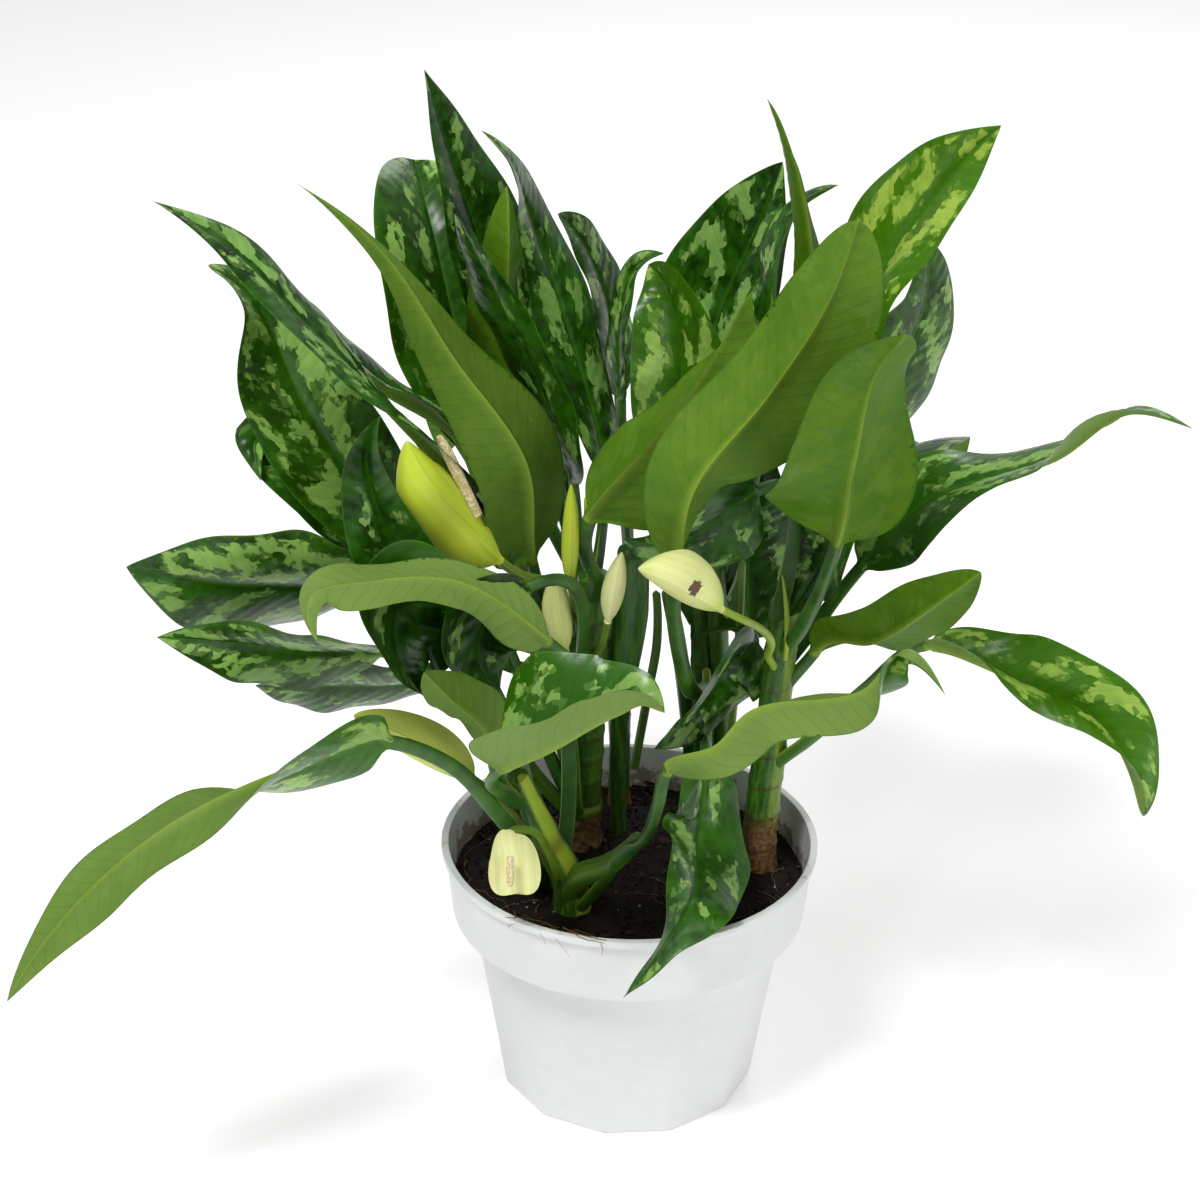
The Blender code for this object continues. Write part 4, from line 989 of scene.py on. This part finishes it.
def makeBlade(spec, fine, number):
    leafKind = spec["name"].startswith("leaf")
    lengths, shares, place, up, side, begin, last = bladeFrames(spec, fine)
    place = buriedFoot(spec, place, fine)
    half, rows = fine["half"], len(lengths)
    steps = np.linspace(-1, 1, half + 1)
    s = np.sign(steps) * np.abs(steps)**fine["bunch"]
    t = shares[:, None]
    wide = np.maximum(bladeWidth(spec, shares), 0.05)[:, None]
    stalk = spec["stalk"] * (1 - fine["stalkTaper"] * lengths / last)[:, None]
    fold, arch = math.radians(spec["fold"]), math.radians(spec["arch"])
    size = np.abs(s)[None, :]
    across = wide * s[None, :]
    if leafKind:
        outX = across * math.cos(fold)
        lift = wide * (math.sin(fold) * size + math.sin(arch) * size * (1 - size))
        phase = 2 * np.pi * (fine["ripples"] * t + number * 0.37 + (s[None, :] > 0) * 0.43)
        lift = lift + spec["wave"] * size**2 * np.sin(phase) * np.sin(np.pi * np.clip(t * 1.02, 0, 1))**0.6
        vein = (lengths - begin)[:, None] - np.abs(across) * fine["veinSlant"]
        room = 4 * size * (1 - size)
        quilt = fine["quilt"] * np.cos(2 * np.pi * vein / fine["quiltGap"])
        lift = lift - quilt * room * np.minimum(wide / 12, 1)
        lift = lift - fine["groove"] * np.exp(-(across / fine["grooveWidth"])**2) * np.minimum(wide / 6, 1)
    else:  # a spathe is rolled into a boat
        turn = 2 * max(fold, 0.05)
        ring = wide * turn / (2 * math.sin(turn / 2))
        bow = ring / turn
        outX = np.sign(s)[None, :] * bow * np.sin(turn * size)
        lift = bow * (1 - np.cos(turn * size))
    thick = fine["thickness"] * np.clip(1.25 - size, 0.15, 1) * np.minimum(wide / 3 + 0.15, 1)
    ribRadius = stalk * (1 - fine["ribTaper"] * t**0.7) * (0.85 if leafKind else 0.6)
    rib = np.sqrt(np.clip(ribRadius**2 - across**2, 0, None)) * np.minimum(wide / 4, 1)
    under = lift - thick - rib
    top = stacked(outX, lift)
    below = stacked(outX, under)[:, ::-1]
    flat = np.concatenate([top, below[:, 1:]], axis=1)
    flat[:, -1] = flat[:, 0]
    flat[:, half] = (flat[:, half] + below[:, 0]) / 2
    angles = np.concatenate([np.linspace(np.pi, 0, half + 1), np.linspace(0, -np.pi, half + 1)[1:]])
    sheath = np.exp(-(lengths / max(begin * fine["sheath"], 1.0))**2)[:, None] * (1.0 if leafKind else 0.2)
    hollow = np.where(np.sin(angles) > 0, (0.42 + 0.75 * sheath) * np.abs(np.sin(angles)), 0.0)
    widen = 1 + fine["flare"] * sheath
    roundX = stalk * widen * np.cos(angles)
    roundY = stalk * widen * (np.sin(angles) - hollow)
    rounds = stacked(roundX, roundY)
    join = np.clip(shares / fine["joinShare"], 0, 1)[:, None, None]
    join = join * join * (3 - 2 * join)
    section = rounds * (1 - join) + flat * join
    points = place[:, None] + side[:, None] * section[..., :1] + up[:, None] * section[..., 1:]
    points[-1] = place[-1]
    points[:, -1] = points[:, 0]
    sAll = np.concatenate([s, s[::-1][1:]])
    spanAll = wide * sAll[None, :]
    ribAll = np.exp(-(spanAll / np.maximum(ribRadius * 0.75, 0.35))**2) * np.clip(1.6 - 1.1 * t, 0.25, 1)
    stalkRow = t <= 0
    paleness = np.where(stalkRow, spec["pale"], 0) + 0 * spanAll
    rims = np.clip(1 - np.abs(np.sin(angles)[None, :]) * 3, 0, 1) * sheath
    margin = np.where(stalkRow, rims, ribAll)
    shareX = np.where(stalkRow, (lengths / begin)[:, None], t) + 0 * spanAll
    shareY = np.where(stalkRow, paleness, sAll[None, :] + 0 * t)
    seed = number * 1.37
    tints = [spec[key] for key in (("silver", "lime", "light") if leafKind else ("cream", "green", "stain"))]
    facts = {"leafPlace": stacked((lengths - begin)[:, None] / 10, spanAll / 10, seed),
             "leafShare": stacked(shareX, shareY, margin),
             "leafTint": stacked(tints[0] + 0 * spanAll, tints[1], tints[2])}
    columns = 2 * half
    paints = np.zeros((rows, columns), int)
    paints[:, half:] = 1
    paints[:fine["stalkRows"]] = 2
    bm = skin(points * mm, facts, paints)
    materials = [leafTop, leafUnder, stalkGreen] if leafKind else [spatheSkin, spatheSkin, stalkGreen]
    title = spec["name"].replace("leaf_", "foliage_").replace("spathe_", "flower_")
    addPiece(title, bm, materials, 60, [spec["name"]])


for number, spec in enumerate(blades):
    makeBlade(spec, leafFine, number)
print("leaves and spathes made:", len(blades))


# spadices

spadices = {
    "left": dict(low=(-58, -30, 155), high=(-71, -33, 187), radius=2.1),
    "low": dict(low=(-45, -71, 35), high=(-45, -76, 25), radius=1.4),
}
spadixFine = dict(columns=28, rowGap=0.35, bump=0.13, bumpGap=1.25)


def makeSpadix(name, spec, fine):
    knots, at = smoothCurve([aboveRim(*spec["low"]), aboveRim(*spec["high"])])
    last = knots[-1]
    lengths = np.linspace(0, last, int(last / fine["rowGap"]))
    place, side, up = tubeFrames(at, lengths, last)
    angles = np.linspace(0, 2 * np.pi, fine["columns"] + 1)
    share = (lengths / last)[:, None]
    turns = np.pi * lengths[:, None] / fine["bumpGap"]
    grains = np.cos(7 * angles[None, :] + turns) * np.cos(turns * 0.9)
    radius = spec["radius"] * np.sqrt(np.clip(1 - ((share - 0.42) / 0.62)**4, 0.02, 1))
    radius = radius * (1 + fine["bump"] * grains)
    points = ringPoints(place, side, up, radius, angles)
    bm = skin(points * mm, {})
    addPiece("spadix_" + name + "_fine", bm, [spadixSkin], 60, ["spadix_" + name])


for name, spec in spadices.items():
    makeSpadix(name, spec, spadixFine)
print("spadices made")


# stems and sheaths packed between the canes: knots (x, y, height above the rim) and radii in mm

def shoot(knots, radii, pale=0.0, bark=0.0):
    return dict(knots=knots, radii=radii, pale=pale, bark=bark)


shoots = {
    "bundle": shoot([(-4, 28, -14), (-5, 24, 31), (-4, 18, 62), (-1, 14, 95), (-1, 10, 125)],
                    (3.2, 3.6, 6.0, 7.5, 6.0)),
    "right_back": shoot([(27, 52, -16), (25, 50, 16), (20, 44, 57), (14, 38, 92)], (3.6, 3.2, 3.2, 3.0)),
    "right_fan": shoot([(39, 46, -14), (38, 44, 25), (35, 38, 65), (32, 34, 107)],
                       (2.8, 3.0, 3.8, 4.2), pale=0.05),
    "thin_right": shoot([(40, 30, 20), (42, 26, 76), (42, 24, 112)], (1.5, 1.5, 1.5), pale=0.35),
    "thin_middle": shoot([(2, 38, 10), (7, 36, 47), (10, 34, 71), (9, 32, 94)],
                         (1.8, 1.8, 1.8, 1.6), pale=0.15),
    "left_1": shoot([(-62, -10, 102), (-53, -6, 65), (-40, 4, 30), (-24, 15, 2)],
                    (2.4, 2.5, 2.7, 3.0), pale=0.1),
    "left_2": shoot([(-51, -6, 96), (-40, 0, 62), (-33, 6, 36), (-21, 15, 4)], (2.4, 2.5, 2.7, 3.0)),
    "left_3": shoot([(-43, -12, 128), (-38, -6, 91), (-30, 2, 52), (-21, 13, 12)],
                    (2.6, 2.8, 3.0, 3.2), pale=0.1),
    "lime_bud": shoot([(-17, -14, 126), (-18, -16, 138), (-18, -18, 148), (-19, -18, 157)],
                      (1.0, 1.6, 1.5, 0.4), pale=1.0),
    "middle_lime": shoot([(32, 31, -12), (31, 30, 8), (31, 30, 26), (30, 32, 60)],
                         (2.6, 2.3, 2.0, 1.6), pale=0.5),
    "middle_node": shoot([(31.4, 29.6, -1.5), (31.3, 29.6, 2.5), (31.2, 29.6, 6)],
                         (3.3, 3.6, 3.2), bark=1.0),
    "sheath_edge": shoot([(58, -9, 86), (58, -11, 100), (57, -12, 112), (55, -13, 124)],
                         (0.9, 1.2, 1.0, 0.4), pale=0.9),
    "main_ring": shoot([(-18.5, 18.6, 3), (-18.4, 18.3, 6), (-18.3, 18.0, 9)], (7.7, 8.1, 7.5), pale=0.45),
    "low_sheath": shoot([(-23, -30, -6), (-19, -35, 4), (-8, -39, 12), (4, -42, 27)],
                        (5.4, 5.2, 4.4, 3.3), pale=0.15),
}
shootFine = dict(columns=24, rowGap=1.4, capRows=5)


def makeShoot(name, spec, fine, seed):
    knots, at = smoothCurve([aboveRim(*point) for point in spec["knots"]])
    last = knots[-1]
    lengths = np.linspace(0, last, int(last / fine["rowGap"]) + fine["capRows"])
    place, side, up = tubeFrames(at, lengths, last)
    angles = np.linspace(0, 2 * np.pi, fine["columns"] + 1)
    radius = np.interp(lengths, knots, spec["radii"])[:, None]
    radius = radius * np.clip((last - lengths[:, None]) / radius * 2, 0.15, 1)**0.5
    uneven = 0.05 * np.sin(angles * 2 + seed)[None, :] + 0.03 * np.sin(angles * 5 + lengths[:, None] * 0.11)
    radius = radius * (1 + uneven)
    points = ringPoints(place, side, up, radius, angles)
    share = (lengths / last)[:, None] + 0 * radius
    second = spec["bark"] if spec["bark"] else spec["pale"]
    facts = {"leafPlace": stacked(lengths[:, None] / 10, angles[None, :] * radius / 10, seed * 1.7),
             "leafShare": stacked(share, second, 0.0)}
    paint, slot = (caneGreen, "cane") if spec["bark"] else (stalkGreen, "leaf")
    addPiece("shoot_" + name, skin(points * mm, facts), [paint], 50)


for number, (name, spec) in enumerate(shoots.items()):
    makeShoot(name, spec, shootFine, number + 11)
print("shoots made:", len(shoots))


# fine roots: threads wandering over the soil, and a few that hang over the rim

roots = dict(count=30, seed=5, radius=(0.12, 0.28), length=(14, 46), step=1.5, turn=0.5, columns=6, over=9,
             overAngle=(-2.25, -1.80), margin=2.5)


def threadOnSoil(spec, draw, radius):
    most = soilRadius - spec["margin"]
    reach, angle = most * math.sqrt(draw.random()), draw.uniform(0, 2 * math.pi)
    x, y, heading = reach * math.cos(angle), reach * math.sin(angle), draw.uniform(0, 2 * math.pi)
    line = []
    for step in range(int(draw.uniform(*spec["length"]) / spec["step"])):
        heading += draw.uniform(-spec["turn"], spec["turn"])
        x, y = x + math.cos(heading) * spec["step"], y + math.sin(heading) * spec["step"]
        if math.hypot(x, y) > most:
            x, y = x * most / math.hypot(x, y), y * most / math.hypot(x, y)
            heading += 0.7
        lift = radius * (1.0 + 2.0 * math.sin(step * 0.4 + angle)**2)
        line.append((x, y, soilTop(math.hypot(x, y)) + lumps(x, y) + lift))
    return line


def threadOverRim(spec, draw, radius):
    angle = draw.uniform(*spec["overAngle"])
    turn, drop = draw.uniform(-0.5, 0.5), draw.uniform(-2, 9)
    rim = pot["rim"] - pot["lip"] / 2
    line = []
    for share in np.linspace(0, 1, 16):
        at = angle + turn * (share - 0.5) + 0.05 * math.sin(share * 9 + angle * 20)
        reach = rim - 16 * (1 - share)**1.2 + (1.4 if drop > 0 else 0) * share**3 + radius
        low = soilTop(reach) + 1.0
        height = low + (pot["height"] + radius * 1.5 - low) * min(share / 0.62, 1)**1.6
        if share > 0.8 and drop > 0:
            height -= drop * ((share - 0.8) / 0.2)**1.5
            reach = max(reach, pot["rim"] + radius)
        line.append((reach * math.cos(at), reach * math.sin(at), height))
    return line


def makeRoots(spec):
    draw = random.Random(spec["seed"])
    joined = bmesh.new()
    for number in range(spec["count"] + spec["over"]):
        radius = draw.uniform(*spec["radius"])
        makeLine = threadOnSoil if number < spec["count"] else threadOverRim
        line = makeLine(spec, draw, radius)
        knots, at = smoothCurve(line)
        last = knots[-1]
        lengths = np.linspace(0, last, len(line))
        place, side, up = tubeFrames(at, lengths, last)
        angles = np.linspace(0, 2 * np.pi, spec["columns"] + 1)
        thick = (radius * (1 - 0.6 * lengths / last))[:, None]
        points = ringPoints(place, side, up, thick, angles)
        share = lengths[:, None] / last + 0 * thick * angles
        facts = {"leafPlace": points / 10, "leafShare": stacked(share, 1.0, draw.uniform(0.2, 1))}
        thread = skin(points * mm, facts)
        mesh = bpy.data.meshes.new("thread")
        thread.to_mesh(mesh)
        thread.free()
        joined.from_mesh(mesh)
        bpy.data.meshes.remove(mesh)
    addPiece("soil_roots", joined, [caneGreen], 60)


makeRoots(roots)
print("roots made")
